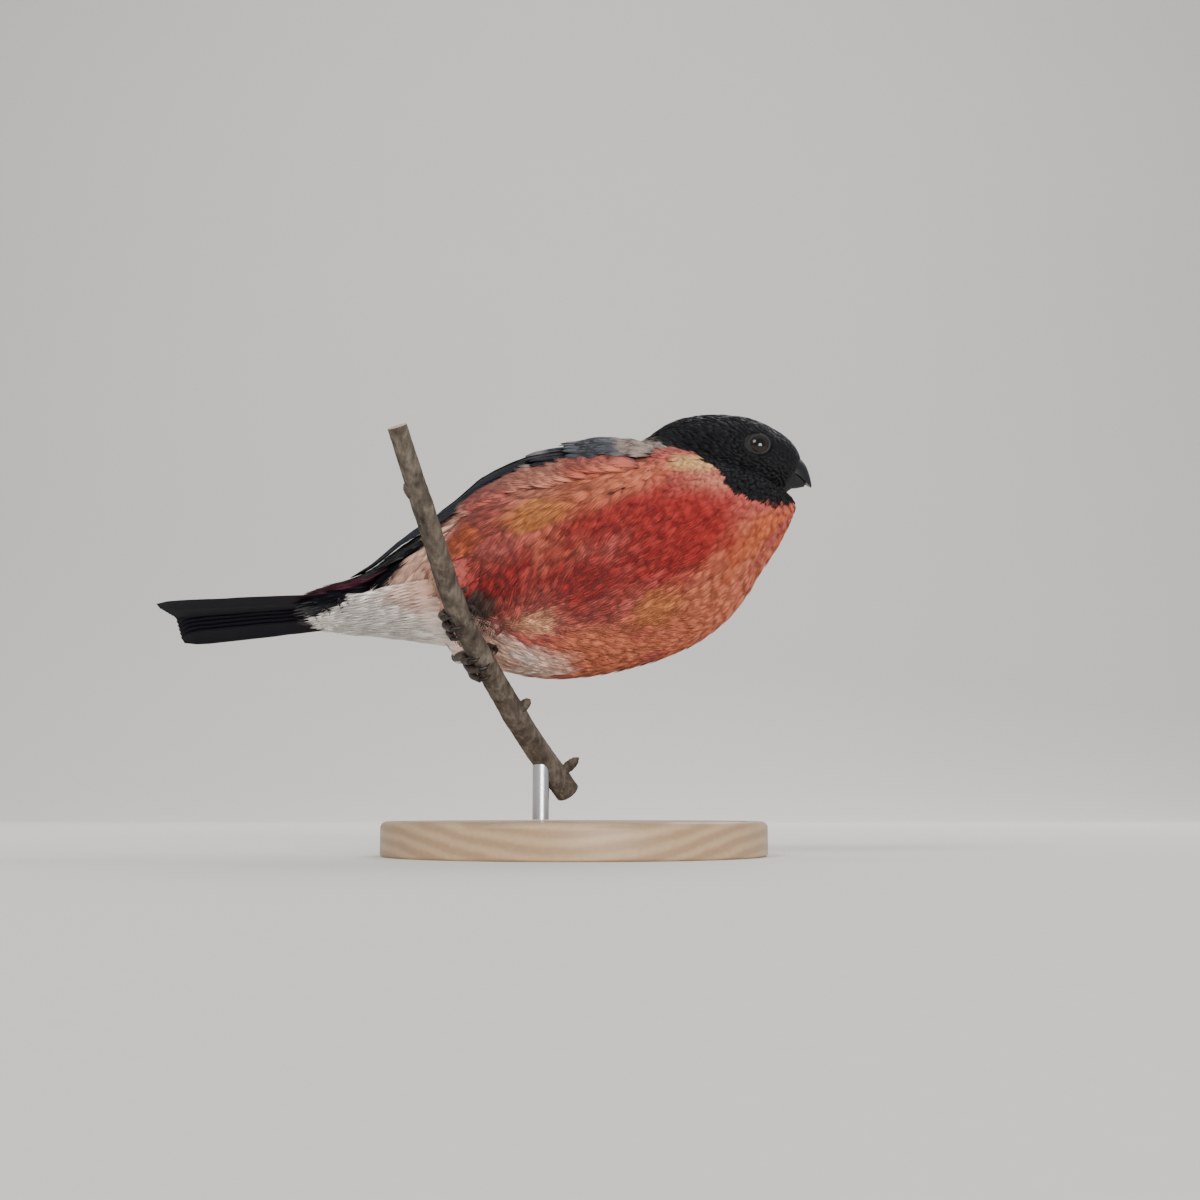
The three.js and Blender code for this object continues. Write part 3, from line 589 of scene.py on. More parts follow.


# The colours at some points, with a painted shadow of the legs, and the kind of coat there: 0 red, 1 cap, 2
# pale, 3 mantle, 4 dark coverts and the painted shade under the wing's tip
def coloursAndShadeAt(points):
    x, angle = trunkPlace(points)
    around = np.abs(angle)
    head = moved(points, headFrame.inverted())
    wobble = ripple(points, 16, 3)
    fine = ripple(points, 6, 4)
    colours = np.tile(np.array(plumage["rose"]), (len(points), 1))
    for px, pa, reach, arc, name, strength in redPatches:
        far = np.hypot((x - px) / reach, np.radians(around - pa) * 25 / arc)
        share = smoothStep(0.15, 0.75, 1.12 - far + 0.16 * wobble + 0.1 * fine)
        colours = blend(colours, plumage[name], strength * share)
    kind = np.zeros(len(points), int)

    behindRed = np.interp(around, *markEdges["red"]) - x + 1.6 * wobble + 1.1 * fine
    colours = blend(colours, plumage["peach"], smoothStep(-5, 2, behindRed))
    colours = blend(colours, plumage["blush"], smoothStep(3, 11, behindRed) * smoothStep(90, 120, around))
    colours = blend(colours, plumage["down"], smoothStep(9, 20, behindRed))
    kind[behindRed > 1] = 2

    isMantle = smoothStep(-4, 3, np.interp(x, *markEdges["mantle"]) - around + 3 * wobble)
    colours = blend(colours, plumage["ash"], isMantle)
    rump = markEdges["rump"]
    isRump = smoothStep(-2, 3, rump["x"] - x + 1.5 * wobble) * smoothStep(-4, 4, rump["angle"] - around)
    colours = blend(colours, plumage["down"], isRump)
    kind[isMantle > 0.5] = 3
    kind[isRump > 0.5] = 2

    # Black behind an edge by the angle: the real black coverts by the tail, and further forward on the sides,
    # under the wing's tip, painted shade
    coverts = np.interp(around, *markEdges["coverts"])
    inCovertsAndTipShade = smoothStep(-1.5, 1.5, coverts - x + wobble) * smoothStep(96, 90, around)
    colours = blend(colours, plumage["night"], inCovertsAndTipShade)
    colours = blend(colours, plumage["night"], smoothStep(0, 2, wedgeEnd(angle) - x))
    kind[inCovertsAndTipShade > 0.5] = 4

    # A painted shadow of the legs, darkening the lower belly round their place
    legs = markEdges["byLegs"]
    far = np.hypot(x - legs["x"], np.radians(around - legs["angle"]) * legs["girth"])
    inLegShadow = 0.9 * smoothStep(legs["reach"], legs["reach"] - 2, far + 0.7 * fine)
    colours = blend(colours, plumage["legShadow"], inLegShadow)

    edge = np.interp(head[:, 0], capEdge["along"], capEdge["height"])
    above = head[:, 2] - edge + 0.35 * fine
    isCap = smoothStep(-0.3, 0.3, above) * smoothStep(-0.4, 0.4, head[:, 0] - capEdge["rear"] + 0.5 * fine)
    colours = blend(colours, plumage["cap"], isCap)
    kind[isCap > 0.5] = 1
    return colours, kind


def storeColours(mesh, colours):
    layer = mesh.color_attributes.new("markingsAndShade", "FLOAT_COLOR", "POINT")
    layer.data.foreach_set("color", np.column_stack((colours, np.ones(len(colours)))).ravel())


def finishSkin():
    colours, _ = coloursAndShadeAt(skinPoints)
    storeColours(skinMesh, colours * 0.8)  # painted a little darker than the coat, as painted shade in the gaps between the feathers
    skinMesh.transform(Matrix.Scale(mm, 4))
    skinMesh.name = "skin"
    nodes = ("head", "neck", "torso", "rump", "thigh_left", "thigh_right")
    dressed(skinMesh, "skin", skinFinish, nodes)


finishSkin()
print("skin marked")


# Joined meshes from arrays: each chunk has points, faces of three or four, colours and two maps
def meshFromChunks(name, chunks):
    mesh = bpy.data.meshes.new(name)
    starts = np.cumsum([0] + [len(chunk["points"]) for chunk in chunks])
    corners = []
    sizes = []
    for chunk, start in zip(chunks, starts):
        faces = chunk["faces"] + start
        corners.append(faces.ravel())
        sizes.append(np.full(len(faces), faces.shape[1]))
    corners = np.concatenate(corners)
    sizes = np.concatenate(sizes)
    joined = {key: np.concatenate([chunk[key] for chunk in chunks])
              for key in ("points", "colours", "barbs", "bake")}
    mesh.vertices.add(len(joined["points"]))
    mesh.vertices.foreach_set("co", (joined["points"] * mm).ravel())
    mesh.loops.add(len(corners))
    mesh.loops.foreach_set("vertex_index", corners)
    mesh.polygons.add(len(sizes))
    mesh.polygons.foreach_set("loop_start", np.cumsum(sizes) - sizes)
    mesh.polygons.foreach_set("loop_total", sizes)
    mesh.update()
    for label, key in (("Barbs", "barbs"), ("OFBake", "bake")):
        layer = mesh.uv_layers.new(name=label, do_init=False)
        layer.data.foreach_set("uv", joined[key][corners].ravel())
    storeColours(mesh, joined["colours"])
    mesh.validate()
    return mesh


# A soft body feather: a narrow root, an arched vane and a tip that parts into points
def softFeather(teeth, depth, seed):
    turns = np.random.default_rng(seed)
    columns = 2 * teeth + 1
    across = np.linspace(-1, 1, columns)
    ridge = (np.arange(columns) % 2) * 0.055
    arch = 0.16 * (1 - across ** 2)
    middle = across[1::2]
    rows = [
        np.stack((np.array((-0.28, 0.28)), np.zeros(2), np.zeros(2)), 1),
        np.stack((0.88 * across, np.full(columns, 0.42), arch + ridge * (np.abs(across) < 1)), 1),
        np.stack((across, 1 - depth - 0.16 * across ** 2 - depth * 0.3 * turns.random(columns),
                  0.8 * arch + ridge), 1),
        np.stack((1.04 * middle + turns.normal(0, 0.06, teeth),
                  1 - 0.2 * middle ** 2 - 0.12 * turns.random(teeth), 0.06 * (1 - middle ** 2)), 1),
    ]
    one, two, tips = 2, 2 + columns, 2 + 2 * columns
    faces = [(0, one + j, one + j + 1) for j in range(teeth)]
    faces += [(1, one + j, one + j + 1) for j in range(teeth, columns - 1)]
    faces += [(0, one + teeth, 1), (0, 1, two - 1), (0, two - 1, one), (one, two - 1, tips - 1)]
    for j in range(columns - 1):
        faces += [(one + j, two + j, two + j + 1), (one + j, two + j + 1, one + j + 1)]
    for k in range(teeth):
        left, crest, right, tip = two + 2 * k, two + 2 * k + 1, two + 2 * k + 2, tips + k
        faces += [(left, tip, crest), (crest, tip, right), (one, right, left), (left, right, tip)]
    return np.vstack(rows), np.array(faces)


# Roots spread over the skin, no two closer than the spacing at their place
def scatterRoots(allowed, spacing):
    tree = KDTree(len(skinPoints))
    for i, point in enumerate(skinPoints):
        tree.insert(point, i)
    tree.balance()
    free = allowed.copy()
    chosen = []
    for i in random.permutation(skinCount):
        if free[i]:
            chosen.append(i)
            for _, j, _ in tree.find_range(skinPoints[i], spacing[i]):
                free[j] = False
    return np.array(chosen)


def unwrapped(points, walk):
    _, angle = trunkPlace(points)
    return np.stack((angle / 360 + 0.5, walk / skinWalk.max()), 1)


# Finds where feathers that follow the skin have their middle and tip, and which way is out there
def followSkin(roots):
    found = []
    for share in (0.5, 1.0):
        aims = roots["at"] + roots["way"] * roots["length"][:, None] * share
        near = [skinTree.find_nearest(Vector(aim)) for aim in aims]
        found.append(np.array([spot for spot, _, _, _ in near]))
    return {"middle": found[0], "tip": found[1], "tipOut": faceOuts[[face for _, _, face, _ in near]]}


# Lays soft feathers along their paths; each lifts towards its tip and so covers the roots behind
def laySoft(roots, paths, shapesOf, colours):
    choice = random.integers(len(shapesOf), size=len(roots["at"]))
    bake = unwrapped(roots["at"], roots["walk"])
    chunks = []
    for number, (form, faces) in enumerate(shapesOf):
        picked = np.flatnonzero(choice == number)
        if not len(picked):
            continue
        a, along, high = form.T[:, None, :, None]
        p0, p1, p2 = (part[picked, None] for part in (roots["at"], paths["middle"], paths["tip"]))
        path = p0 * (1 - along) * (1 - 2 * along) + 4 * p1 * along * (1 - along)
        path = path + p2 * along * (2 * along - 1)
        out0, out2 = roots["out"][picked, None], paths["tipOut"][picked, None]
        out = unit(out0 * (1 - along) + out2 * along)
        side = unit(np.cross(out0, p2 - p0))
        side = unit(side - out * (side * out).sum(-1, keepdims=True))
        twist = roots["twist"][picked, None, None]
        width = roots["half"][picked, None, None]
        rise = roots["sink"][picked, None, None] + roots["lift"][picked, None, None] * along ** 0.85
        lean = side * np.cos(twist) + out * np.sin(twist)
        points = path + lean * width * a + out * (rise + width * (high - 0.12 * a ** 2))
        # Each feather is painted darker towards its root, as painted shade under the feathers that lie over
        # it, and scaled by its own random tone
        tone = (0.86 + 0.15 * smoothStep(0.1, 0.9, along)) * roots["tone"][picked, None, None]
        size = form.shape[0]
        chunks.append({
            "points": points.reshape(-1, 3),
            "faces": (faces[None] + size * np.arange(len(picked))[:, None, None]).reshape(-1, 3),
            "colours": (colours[picked, None] * tone).reshape(-1, 3),
            "barbs": np.tile(np.stack((form[:, 0] / 2 + 0.5, form[:, 1]), 1), (len(picked), 1)),
            "bake": (bake[picked, None] + (form[:, :2] - (0, 0.5)) * 0.0015).reshape(-1, 2),
        })
    return chunks


coatLook = {
    "body": {"spacing": 0.94, "length": 8.6, "half": 1.25, "lift": 1.25},
    "neck": {"spacing": 0.84, "length": 6.4, "half": 1.0, "lift": 0.98},
    "head": {"spacing": 0.66, "length": 4.0, "half": 0.66, "lift": 0.6},
    # What changes towards the bill, towards the tail and close to an eye, as shares
    "muzzle": {"length": -0.38, "spacing": -0.2, "lift": -0.35},
    "rear": {"length": 0.5, "lift": -0.35},
    "byEye": {"length": -0.5, "spacing": -0.25, "half": -0.25},
    "flatUnderTip": 0.6, "raisedByTip": 1.1,  # the lift under the wing's tip and above it, on the rump
    "flank": {"across": 0.22, "length": 0.3, "lift": 1.8},
    "eye": (13.9, 6.3, 5.0), "eyeGap": 2.6,
    "eyeClear": 2.75,                         # the tips stop this far from the middle of the eye
    "underWing": {"x": (-33, 17), "angle": (20, 61)},
    "billGap": {"x": 19.8, "z": -1.2, "wide": 3.1, "high": 3.5},
    "lastRow": -64,
    "swing": 0.11, "twist": 0.1, "tone": 0.055, "sink": -0.15,
}


def fromEyes(head):
    gaps = []
    for side in (1, -1):
        aside = head - np.array(coatLook["eye"]) * (1, side, 1)
        otherSide = head[:, 1] * side < 0
        gaps.append(np.linalg.norm(aside[:, [0, 2]], axis=1) + 20 * otherSide)
    return np.minimum(*gaps)


# How close, long, wide and raised the feathers are at each point of the skin
def coatSizes(x, angle, head, eyes):
    around = np.abs(angle)
    onHead = smoothStep(-12, -3, head[:, 0]) * smoothStep(-13, -6, head[:, 2])
    onNeck = smoothStep(4, 24, x) * smoothStep(0, 14, head[:, 2] + 22)
    sizes = {}
    for key in ("spacing", "length", "half", "lift"):
        body, neck, face = (coatLook[part][key] for part in ("body", "neck", "head"))
        size = body + (neck - body) * onNeck
        sizes[key] = size + (face - size) * onHead

    def change(part, share):
        for key, amount in coatLook[part].items():
            sizes[key] *= 1 + amount * share

    change("muzzle", smoothStep(14, 21, head[:, 0]) * onHead)
    change("rear", smoothStep(-38, -52, x))
    byTip = smoothStep(-22, -30, x) * smoothStep(70, 62, around)
    sizes["lift"] *= 1 - coatLook["flatUnderTip"] * byTip * smoothStep(30, 40, around)
    onRump = smoothStep(40, 30, around) * smoothStep(-60, -54, x)
    sizes["lift"] += coatLook["raisedByTip"] * byTip * onRump
    room = x - wedgeEnd(angle)
    inWedge = (x < -44) & (around > 95) & (room > 2)
    sizes["length"] = np.where(inWedge, np.clip(room, 3, sizes["length"]), sizes["length"])
    change("byEye", smoothStep(5.6, 3.2, eyes))
    return sizes


def hasFeathers(x, angle, head, eyes):
    around = np.abs(angle)
    wing, bill = coatLook["underWing"], coatLook["billGap"]
    underWing = (x < wing["x"][1]) & (x > wing["x"][0])
    underWing &= (around > wing["angle"][0]) & (around < wing["angle"][1])
    fromBill = np.hypot(head[:, 1] / bill["wide"], (head[:, 2] - bill["z"]) / bill["high"])
    inBill = (head[:, 0] > bill["x"]) & (fromBill < 1)
    return ~underWing & ~inBill & (eyes > coatLook["eyeGap"]) & (x > coatLook["lastRow"])


# The flank's longer feathers turn up over the folded wing's lower edge
def raiseFlank(roots):
    x, angle = trunkPlace(roots["at"])
    around = np.abs(angle)
    flank = smoothStep(60, 64, around) * smoothStep(84, 74, around)
    flank *= smoothStep(17, 8, x) * smoothStep(-27, -17, x)
    upward = unit(np.cross(roots["out"], roots["way"])) * -np.sign(angle)[:, None]
    roots["way"] = unit(roots["way"] - upward * coatLook["flank"]["across"] * flank[:, None])
    roots["length"] *= 1 + coatLook["flank"]["length"] * flank
    roots["lift"] += coatLook["flank"]["lift"] * flank


def makeCoat():
    x, angle = trunkPlace(skinPoints)
    head = moved(skinPoints, headFrame.inverted())
    eyes = fromEyes(head)
    sizes = coatSizes(x, angle, head, eyes)
    chosen = scatterRoots(hasFeathers(x, angle, head, eyes), sizes["spacing"])
    count = len(chosen)
    roots = {
        "at": skinPoints[chosen], "out": skinOuts[chosen], "walk": skinWalk[chosen],
        "length": sizes["length"][chosen] * random.uniform(0.86, 1.16, count),
        "half": sizes["half"][chosen] * random.uniform(0.88, 1.12, count),
        "lift": sizes["lift"][chosen] * random.uniform(0.85, 1.12, count),
        "sink": np.full(count, coatLook["sink"]),
        "twist": random.normal(0, coatLook["twist"], count),
        "tone": random.normal(1, coatLook["tone"], count).clip(0.84, 1.16),
    }
    swing = random.normal(0, coatLook["swing"], count)[:, None]
    lie = skinLie[chosen]
    roots["way"] = unit(lie + np.cross(roots["out"], lie) * swing)
    raiseFlank(roots)
    keepOffEyes(roots)

    colours, kind = coloursAndShadeAt(roots["at"] + roots["way"] * roots["length"][:, None] * 0.45)
    x, angle = trunkPlace(roots["at"])
    red, front, right = kind == 0, x > 8, angle < 0
    groups = {
        "coat_cap": (kind == 1, faceForms, capFeathers, "cap_feathers"),
        "coat_breast_right": (red & front & right, bodyForms, softFeathers, "breast_feathers"),
        "coat_breast_left": (red & front & ~right, bodyForms, softFeathers, "breast_feathers"),
        "coat_flank_right": (red & ~front & right, bodyForms, softFeathers, "breast_feathers"),
        "coat_flank_left": (red & ~front & ~right, bodyForms, softFeathers, "breast_feathers"),
        "coat_vent": (kind == 2, bodyForms, softFeathers, "pale_feathers"),
        "coat_mantle": (kind == 3, bodyForms, softFeathers, "breast_feathers"),
        # the dark coverts, with the feathers painted black as shade under the wing's tip
        "coat_tail_base_and_tip_shade": (kind == 4, bodyForms, flightFeathers, "flight_feathers"),
    }
    for name, (mask, forms, finish, slot) in groups.items():
        picked = {key: value[mask] for key, value in roots.items()}
        coatPiece(name, picked, followSkin(picked), forms, colours[mask], finish)


def coatPiece(name, roots, paths, shapesOf, colours, material):
    mesh = meshFromChunks(name, laySoft(roots, paths, shapesOf, colours))
    dressed(mesh, name, material, ())
    print(name, len(roots["at"]), "feathers,", len(mesh.polygons), "faces")


# Shortens the feathers that would reach over an eye
def keepOffEyes(roots):
    for side in (1, -1):
        eye = np.array(headFrame @ Vector(np.array(coatLook["eye"]) * (1, side, 1)))
        axis = np.array(headFrame.to_3x3() @ Vector((0, side, 0)))
        gap = eye - roots["at"]
        gap -= (gap @ axis)[:, None] * axis
        way = roots["way"] - (roots["way"] @ axis)[:, None] * axis
        ahead = (gap * unit(way)).sum(1)
        miss = np.sqrt(np.maximum((gap ** 2).sum(1) - ahead ** 2, 0))
        clear = coatLook["eyeClear"]
        room = ahead - np.sqrt(np.maximum(clear ** 2 - miss ** 2, 0))
        near = (miss < clear) & (ahead > 0) & (ahead < 9) & ((roots["at"] - eye) @ axis > -4)
        short = np.clip(np.minimum(roots["length"], room), 0.7, None)
        roots["length"] = np.where(near, short, roots["length"])


bodyForms = [softFeather(5, 0.3, seed) for seed in range(5)] + [softFeather(5, 0.45, 9)]
faceForms = [softFeather(3, 0.3, seed) for seed in range(20, 24)]
makeCoat()

# Soft feathers laid over the wing's front, up over its lower edge, and over and under the tail:
# x and angle of the roots, how far back and around they reach, and how they lift
overlays = [
    {"name": "wing_shoulder", "x": (19.5, 5), "around": (22, 61), "spacing": 1.1, "reach": (-6.5, 1),
     "low": (-1.2, 0.6), "high": (0.6, 1.9), "half": 1.45, "colour": "ash", "dark": (26, 38, 17, 13),
     "slot": "breast_feathers"},
    {"name": "scapulars", "x": (16, -4), "around": (10, 21), "spacing": 1.1, "reach": (-8, 5),
     "low": (-1.2, -0.8), "high": (1.1, 1.7), "half": 1.6, "colour": "ash", "dark": (11, 16, 12, 8),
     "slot": "breast_feathers"},
    {"name": "flank_front", "x": (15, -6), "around": (66, 75), "spacing": 0.88, "reach": (-7, -5),
     "low": (-0.9, -0.3), "high": (1.0, 2.4), "half": 1.2, "colour": None, "slot": "breast_feathers"},
    {"name": "flank_rear", "x": (-6, -24), "around": (61, 72), "spacing": 0.88, "reach": (-8, -5),
     "low": (-0.3, -0.3), "high": (2.4, 1.8), "half": 1.2, "colour": None, "slot": "breast_feathers"},
    {"name": "rump_sides", "x": (-26, -50), "around": (26, 66), "spacing": 1.3, "reach": (-9, -3),
     "low": (-1.5, -1.5), "high": (0.3, 0.2), "half": 1.6, "colour": None, "slot": "pale_feathers"},
    {"name": "tail_coverts_under", "x": (-34, -63), "around": (114, 180), "spacing": 1.6,
     "reach": (-14, 5), "low": (-1.9, -1.6), "high": (0.7, 1.0), "half": 1.8, "colour": None,
     "slot": "pale_feathers"},
    {"name": "tail_coverts_upper", "x": (-47, -63), "around": (0, 30), "spacing": 1.7,
     "reach": (-11, -2), "low": (-1.6, -1.3), "high": (0.5, 1.1), "half": 1.8, "colour": "night",
     "slot": "flight_feathers"},
    {"name": "tail_coverts_gloss", "x": (-48, -66), "around": (30, 72), "spacing": 1.6,
     "reach": (-12, -2), "low": (-1.6, -1.1), "high": (0.6, 1.3), "half": 1.7, "colour": "plum",
     "slot": "flight_feathers"},
    {"name": "tail_coverts_side", "x": (-54, -66), "around": (72, 98), "spacing": 1.5,
     "reach": (-12, -2), "low": (-1.6, -1.1), "high": (0.6, 1.3), "half": 1.7, "colour": "night",
     "slot": "flight_feathers"},
]


def layOverlays():
    for look in overlays:
        step = look["spacing"]
        rows = []
        for row, x in enumerate(np.arange(look["x"][0], look["x"][1], -step)):
            turn = math.degrees(step / np.interp(x, trunkRuns[:, 0], trunkRuns[:, 2]))
            first = look["around"][0] + turn * 0.5 * (row % 2)
            rows += [(x, angle) for angle in np.arange(first, look["around"][1], turn)]
        for side in (1, -1):
            spots = np.array(rows) + random.normal(0, (0.3, 0.8), (len(rows), 2))
            x, angle = spots.T
            count = len(x)
            size = random.uniform(0.88, 1.14, count)
            places = []
            for share in (0, 0.5, 1):
                limit = np.where((angle > 100) & (x > wedgeEnd(angle) + 2), wedgeEnd(angle), -76)
                back = np.maximum(x + look["reach"][0] * size * share, limit)
                around = angle + look["reach"][1] * share
                at, out = onTrunk(back, side * around, 0.0, 0.4)
                places.append((moved(at, bodyFrame), out @ np.array(bodyFrame)[:3, :3].T))
            farther = smoothStep(0, 9, look["x"][0] - x)
            low, high = (look[key][0] + (look[key][1] - look[key][0]) * farther for key in ("low", "high"))
            roots = {
                "at": places[0][0], "out": places[0][1],
                "half": look["half"] * random.uniform(0.88, 1.12, count),
                "walk": np.interp(-x, (-46, 77), (0.1, 1)) * skinWalk.max(),
                "sink": low, "lift": (high - low) * random.uniform(0.9, 1.08, count),
                "twist": random.normal(0, 0.08, count),
                "tone": random.normal(1, 0.05, count).clip(0.86, 1.14),
            }
            paths = {"middle": places[1][0], "tip": places[2][0], "tipOut": places[2][1]}
            colours, _ = coloursAndShadeAt(places[1][0])
            if look["colour"]:
                colours = np.tile(np.array(plumage[look["colour"]]), (count, 1))
            if "dark" in look:  # grey only near the nape and the back, dark lower down and behind
                above, below, front, behind = look["dark"]
                share = smoothStep(above, below, angle) * smoothStep(front, behind, x)
                colours = blend(colours, plumage["slate"], share)
            finish = flightFeathers if look["slot"] == "flight_feathers" else softFeathers
            name = look["name"] + ("_left" if side > 0 else "_right")
            coatPiece(name, roots, paths, bodyForms, colours, finish)


layOverlays()
print("coat laid")


# Faces of an upper and an under grid of points, closed round their edges
def gridFaces(rows, cols):
    number = np.arange(rows * cols).reshape(rows, cols)
    a, b = number[:-1, :-1].ravel(), number[1:, :-1].ravel()
    c, d = number[1:, 1:].ravel(), number[:-1, 1:].ravel()
    low = rows * cols
    faces = [np.stack((a, b, c, d), 1), np.stack((a, d, c, b), 1) + low]
    for edge, flip in ((number[:, 0], 1), (number[:, -1], 0), (number[0], 0), (number[-1], 1)):
        here, there = edge[:-1], edge[1:]
        if flip:
            faces.append(np.stack((here, here + low, there + low, there), 1))
        else:
            faces.append(np.stack((here, there, there + low, here + low), 1))
    return np.vstack(faces)


vaneColumns = np.array((-1, -0.7, -0.38, -0.1, 0, 0.1, 0.38, 0.7, 1))


# A vane over a run of places, with its shaft raised, closed on every side
def layVane(at, out, half, profile, look, rank, side, paint, bakePatch):
    along = unit(np.gradient(at, axis=0))
    across = unit(np.cross(out, along))
    out = np.cross(along, across)
    tilt = -side * math.radians(look.get("tilt", 0))
    cosine, sine = math.cos(tilt), math.sin(tilt)
    across, out = across * cosine + out * sine, out * cosine - across * sine
    shares = np.linspace(0, 1, len(at))
    width = half * np.interp(shares, *profile)
    column = vaneColumns[None, :]
    web = np.where(column * -side > 0, look.get("outerWeb", 1.0), 1.0)
    splits = look.get("splits", 0.1) * random.random((len(at), 2)) ** 4
    ragged = 1 - splits * smoothStep(0.2, 0.5, shares)[:, None]
    web = web * np.where(column < 0, ragged[:, :1], ragged[:, 1:]) ** (np.abs(column) > 0.9)
    spread = column * web * width[:, None]
    arch = look.get("camber", 0.1) * width[:, None] * (1 - column ** 2)
    thick = look["thick"] * (1 - 0.55 * np.abs(column)) * (1 - 0.4 * shares[:, None])
    shaft = look.get("shaft", 0.13) * (column == 0) * (1 - shares[:, None])
    middle = at[:, None] + across[:, None] * spread[..., None] + out[:, None] * arch[..., None]
    top = middle + out[:, None] * (thick / 2 + shaft)[..., None]
    under = middle - out[:, None] * (thick / 2)[..., None]
    place = np.stack(np.broadcast_arrays(column / 2 + 0.5, shares[:, None]), -1).reshape(-1, 2)
    colours = paint(place[:, 1], place[:, 0] * 2 - 1, rank, -side)
    corner, size = bakePatch
    return {
        "points": np.vstack((top.reshape(-1, 3), under.reshape(-1, 3))),
        "faces": gridFaces(*top.shape[:2]),
        "colours": np.tile(colours, (2, 1)),
        "barbs": np.tile(place, (2, 1)),
        "bake": np.vstack((corner + place * size, corner + place * size + (0.5, 0))),
    }


profiles = {
    "long": ((0, 0.12, 0.4, 0.75, 0.9, 0.97, 1), (0.35, 0.62, 0.92, 1, 0.8, 0.5, 0.16)),
    "round": ((0, 0.2, 0.55, 0.8, 0.93, 1), (0.5, 0.82, 1, 0.92, 0.62, 0.2)),
    "tail": ((0, 0.2, 0.6, 0.9, 0.97, 1), (0.5, 0.7, 0.95, 1, 0.82, 0.42)),
}


def jittered(colours, amount=0.08):
    return colours * random.normal(1, amount)


def paintFlight(share, across, rank, outer):
    colours = np.tile(np.array(plumage["night"]), (len(share), 1))
    edge = smoothStep(0.75, 1, across * outer) * smoothStep(0.1, 0.5, share)
    return jittered(blend(colours, plumage["slate"], 0.5 * edge))


def paintTertial(share, across, rank, outer):
    colours = paintFlight(share, across, rank, outer)
    return blend(colours, plumage["plum"], 0.6 * (rank < 0.2) * smoothStep(0.2, 0.8, -across * outer))


def paintGreater(share, across, rank, outer):
    colours = np.tile(np.array(plumage["night"]), (len(share), 1))
    pale = 0.55 * smoothStep(0.56, 0.72, share) * smoothStep(0.8, 0.55, rank)
    return jittered(blend(colours, plumage["bar"], pale))


def paintMedian(share, across, rank, outer):
    colours = np.tile(np.array(plumage["slate"]), (len(share), 1))
    pale = 0.3 * smoothStep(0.3, 0.8, share) * smoothStep(0.7, 0.4, rank)
    return jittered(blend(colours, plumage["ash"], pale))


# The tail is black, painted plum towards its root and most on the outer web, as a painted purple sheen
def paintTail(share, across, rank, outer):
    colours = np.tile(np.array(plumage["night"]), (len(share), 1))
    edge = smoothStep(0.3, 0.9, across * outer)
    return jittered(blend(colours, plumage["plum"], (0.3 + 0.7 * edge) * smoothStep(0.6, 0.1, share)))


# The folded wing, tier by tier, each from the feather nearest the back to the lowest one.
# A root or tip is x, angle down from the middle of the back, and lift off the trunk.
wingLook = {"tilt": 11, "thick": 0.24, "outerWeb": 0.72, "camber": 0.12, "rows": 24, "splits": 0.28}
wingTiers = [
    {"count": 9, "half": 3.3, "profile": "long", "paint": paintFlight,
     "roots": ((-10, 52, 0.7), (-15, 61, 0.6)), "tips": ((-45, 34, 1.2), (-59.5, 50, 0.7))},
    {"count": 6, "half": 3.5, "profile": "long", "paint": paintFlight,
     "roots": ((-7, 40, 0.9), (-9, 53, 0.8)), "tips": ((-40, 27, 1.5), (-46, 38, 1.2))},
    {"count": 3, "half": 4.3, "profile": "long", "paint": paintTertial,
     "roots": ((-5, 19, 1.0), (-7, 34, 1.0)), "tips": ((-27, 13, 1.9), (-38.5, 25, 1.8))},
    {"count": 5, "half": 2.5, "profile": "round", "paint": paintFlight,
     "roots": ((5, 55, -0.3), (5, 65, -0.4)), "tips": ((-15, 55, 1.4), (-21, 63.5, 1.1))},
    {"count": 3, "half": 2.1, "profile": "round", "paint": paintFlight,
     "roots": ((12, 62, -0.6), (13, 67, -0.7)), "tips": ((-1, 61, 1.5), (-6, 66, 1.2))},
    {"count": 9, "half": 3.0, "profile": "round", "paint": paintGreater,
     "roots": ((4, 20, 0.2), (3, 60, 0.1)), "tips": ((-13, 16, 2.0), (-10.5, 58, 1.9))},
    {"count": 8, "half": 3.1, "profile": "round", "paint": paintMedian,
     "roots": ((12, 24, -0.9), (12, 61, -0.9)), "tips": ((-3, 18.5, 2.2), (-1.5, 59, 2.1))},
]

# The flesh and small bones of the folded wing, under its feathers: angles of its two edges
wingPad = {"x": (20, -30), "shares": (0, 0.34, 0.47, 0.9, 1), "upper": (44, 21, 14, 14, 14),
           "lower": (50, 66, 66, 66, 63), "floor": -1.8, "top": 0.1, "rows": 26, "cols": 12}


def layWingPad(side):
    rows, cols = wingPad["rows"], wingPad["cols"]
    shares = np.linspace(0, 1, rows)[:, None]
    across = np.linspace(0, 1, cols)[None, :]
    upper, lower = (np.interp(shares, wingPad["shares"], wingPad[edge]) for edge in ("upper", "lower"))
    angle = (upper + (lower - upper) * across) * side
    front, rear = wingPad["x"]
    x = np.broadcast_to(front + (rear - front) * shares, angle.shape)
    dome = (np.sin(math.pi * across) * np.sin(math.pi * (0.06 + 0.9 * shares))) ** 0.35
    top, _ = onTrunk(x, angle, wingPad["floor"] + (wingPad["top"] - wingPad["floor"]) * dome)
    under, _ = onTrunk(x, angle, np.full(angle.shape, wingPad["floor"] - 0.2))
    points = moved(np.vstack((top.reshape(-1, 3), under.reshape(-1, 3))), bodyFrame)
    shade = smoothStep(-4, 2, np.tile(x.ravel(), 2))
    place = np.tile(np.stack(np.broadcast_arrays(across, shares), -1).reshape(-1, 2), (2, 1))
    colours = blend(np.tile(np.array(plumage["night"]), (len(points), 1)), plumage["ash"], shade)
    return {"points": points, "faces": gridFaces(rows, cols), "colours": colours, "barbs": place,
            "bake": place * 0.03 + 0.96}


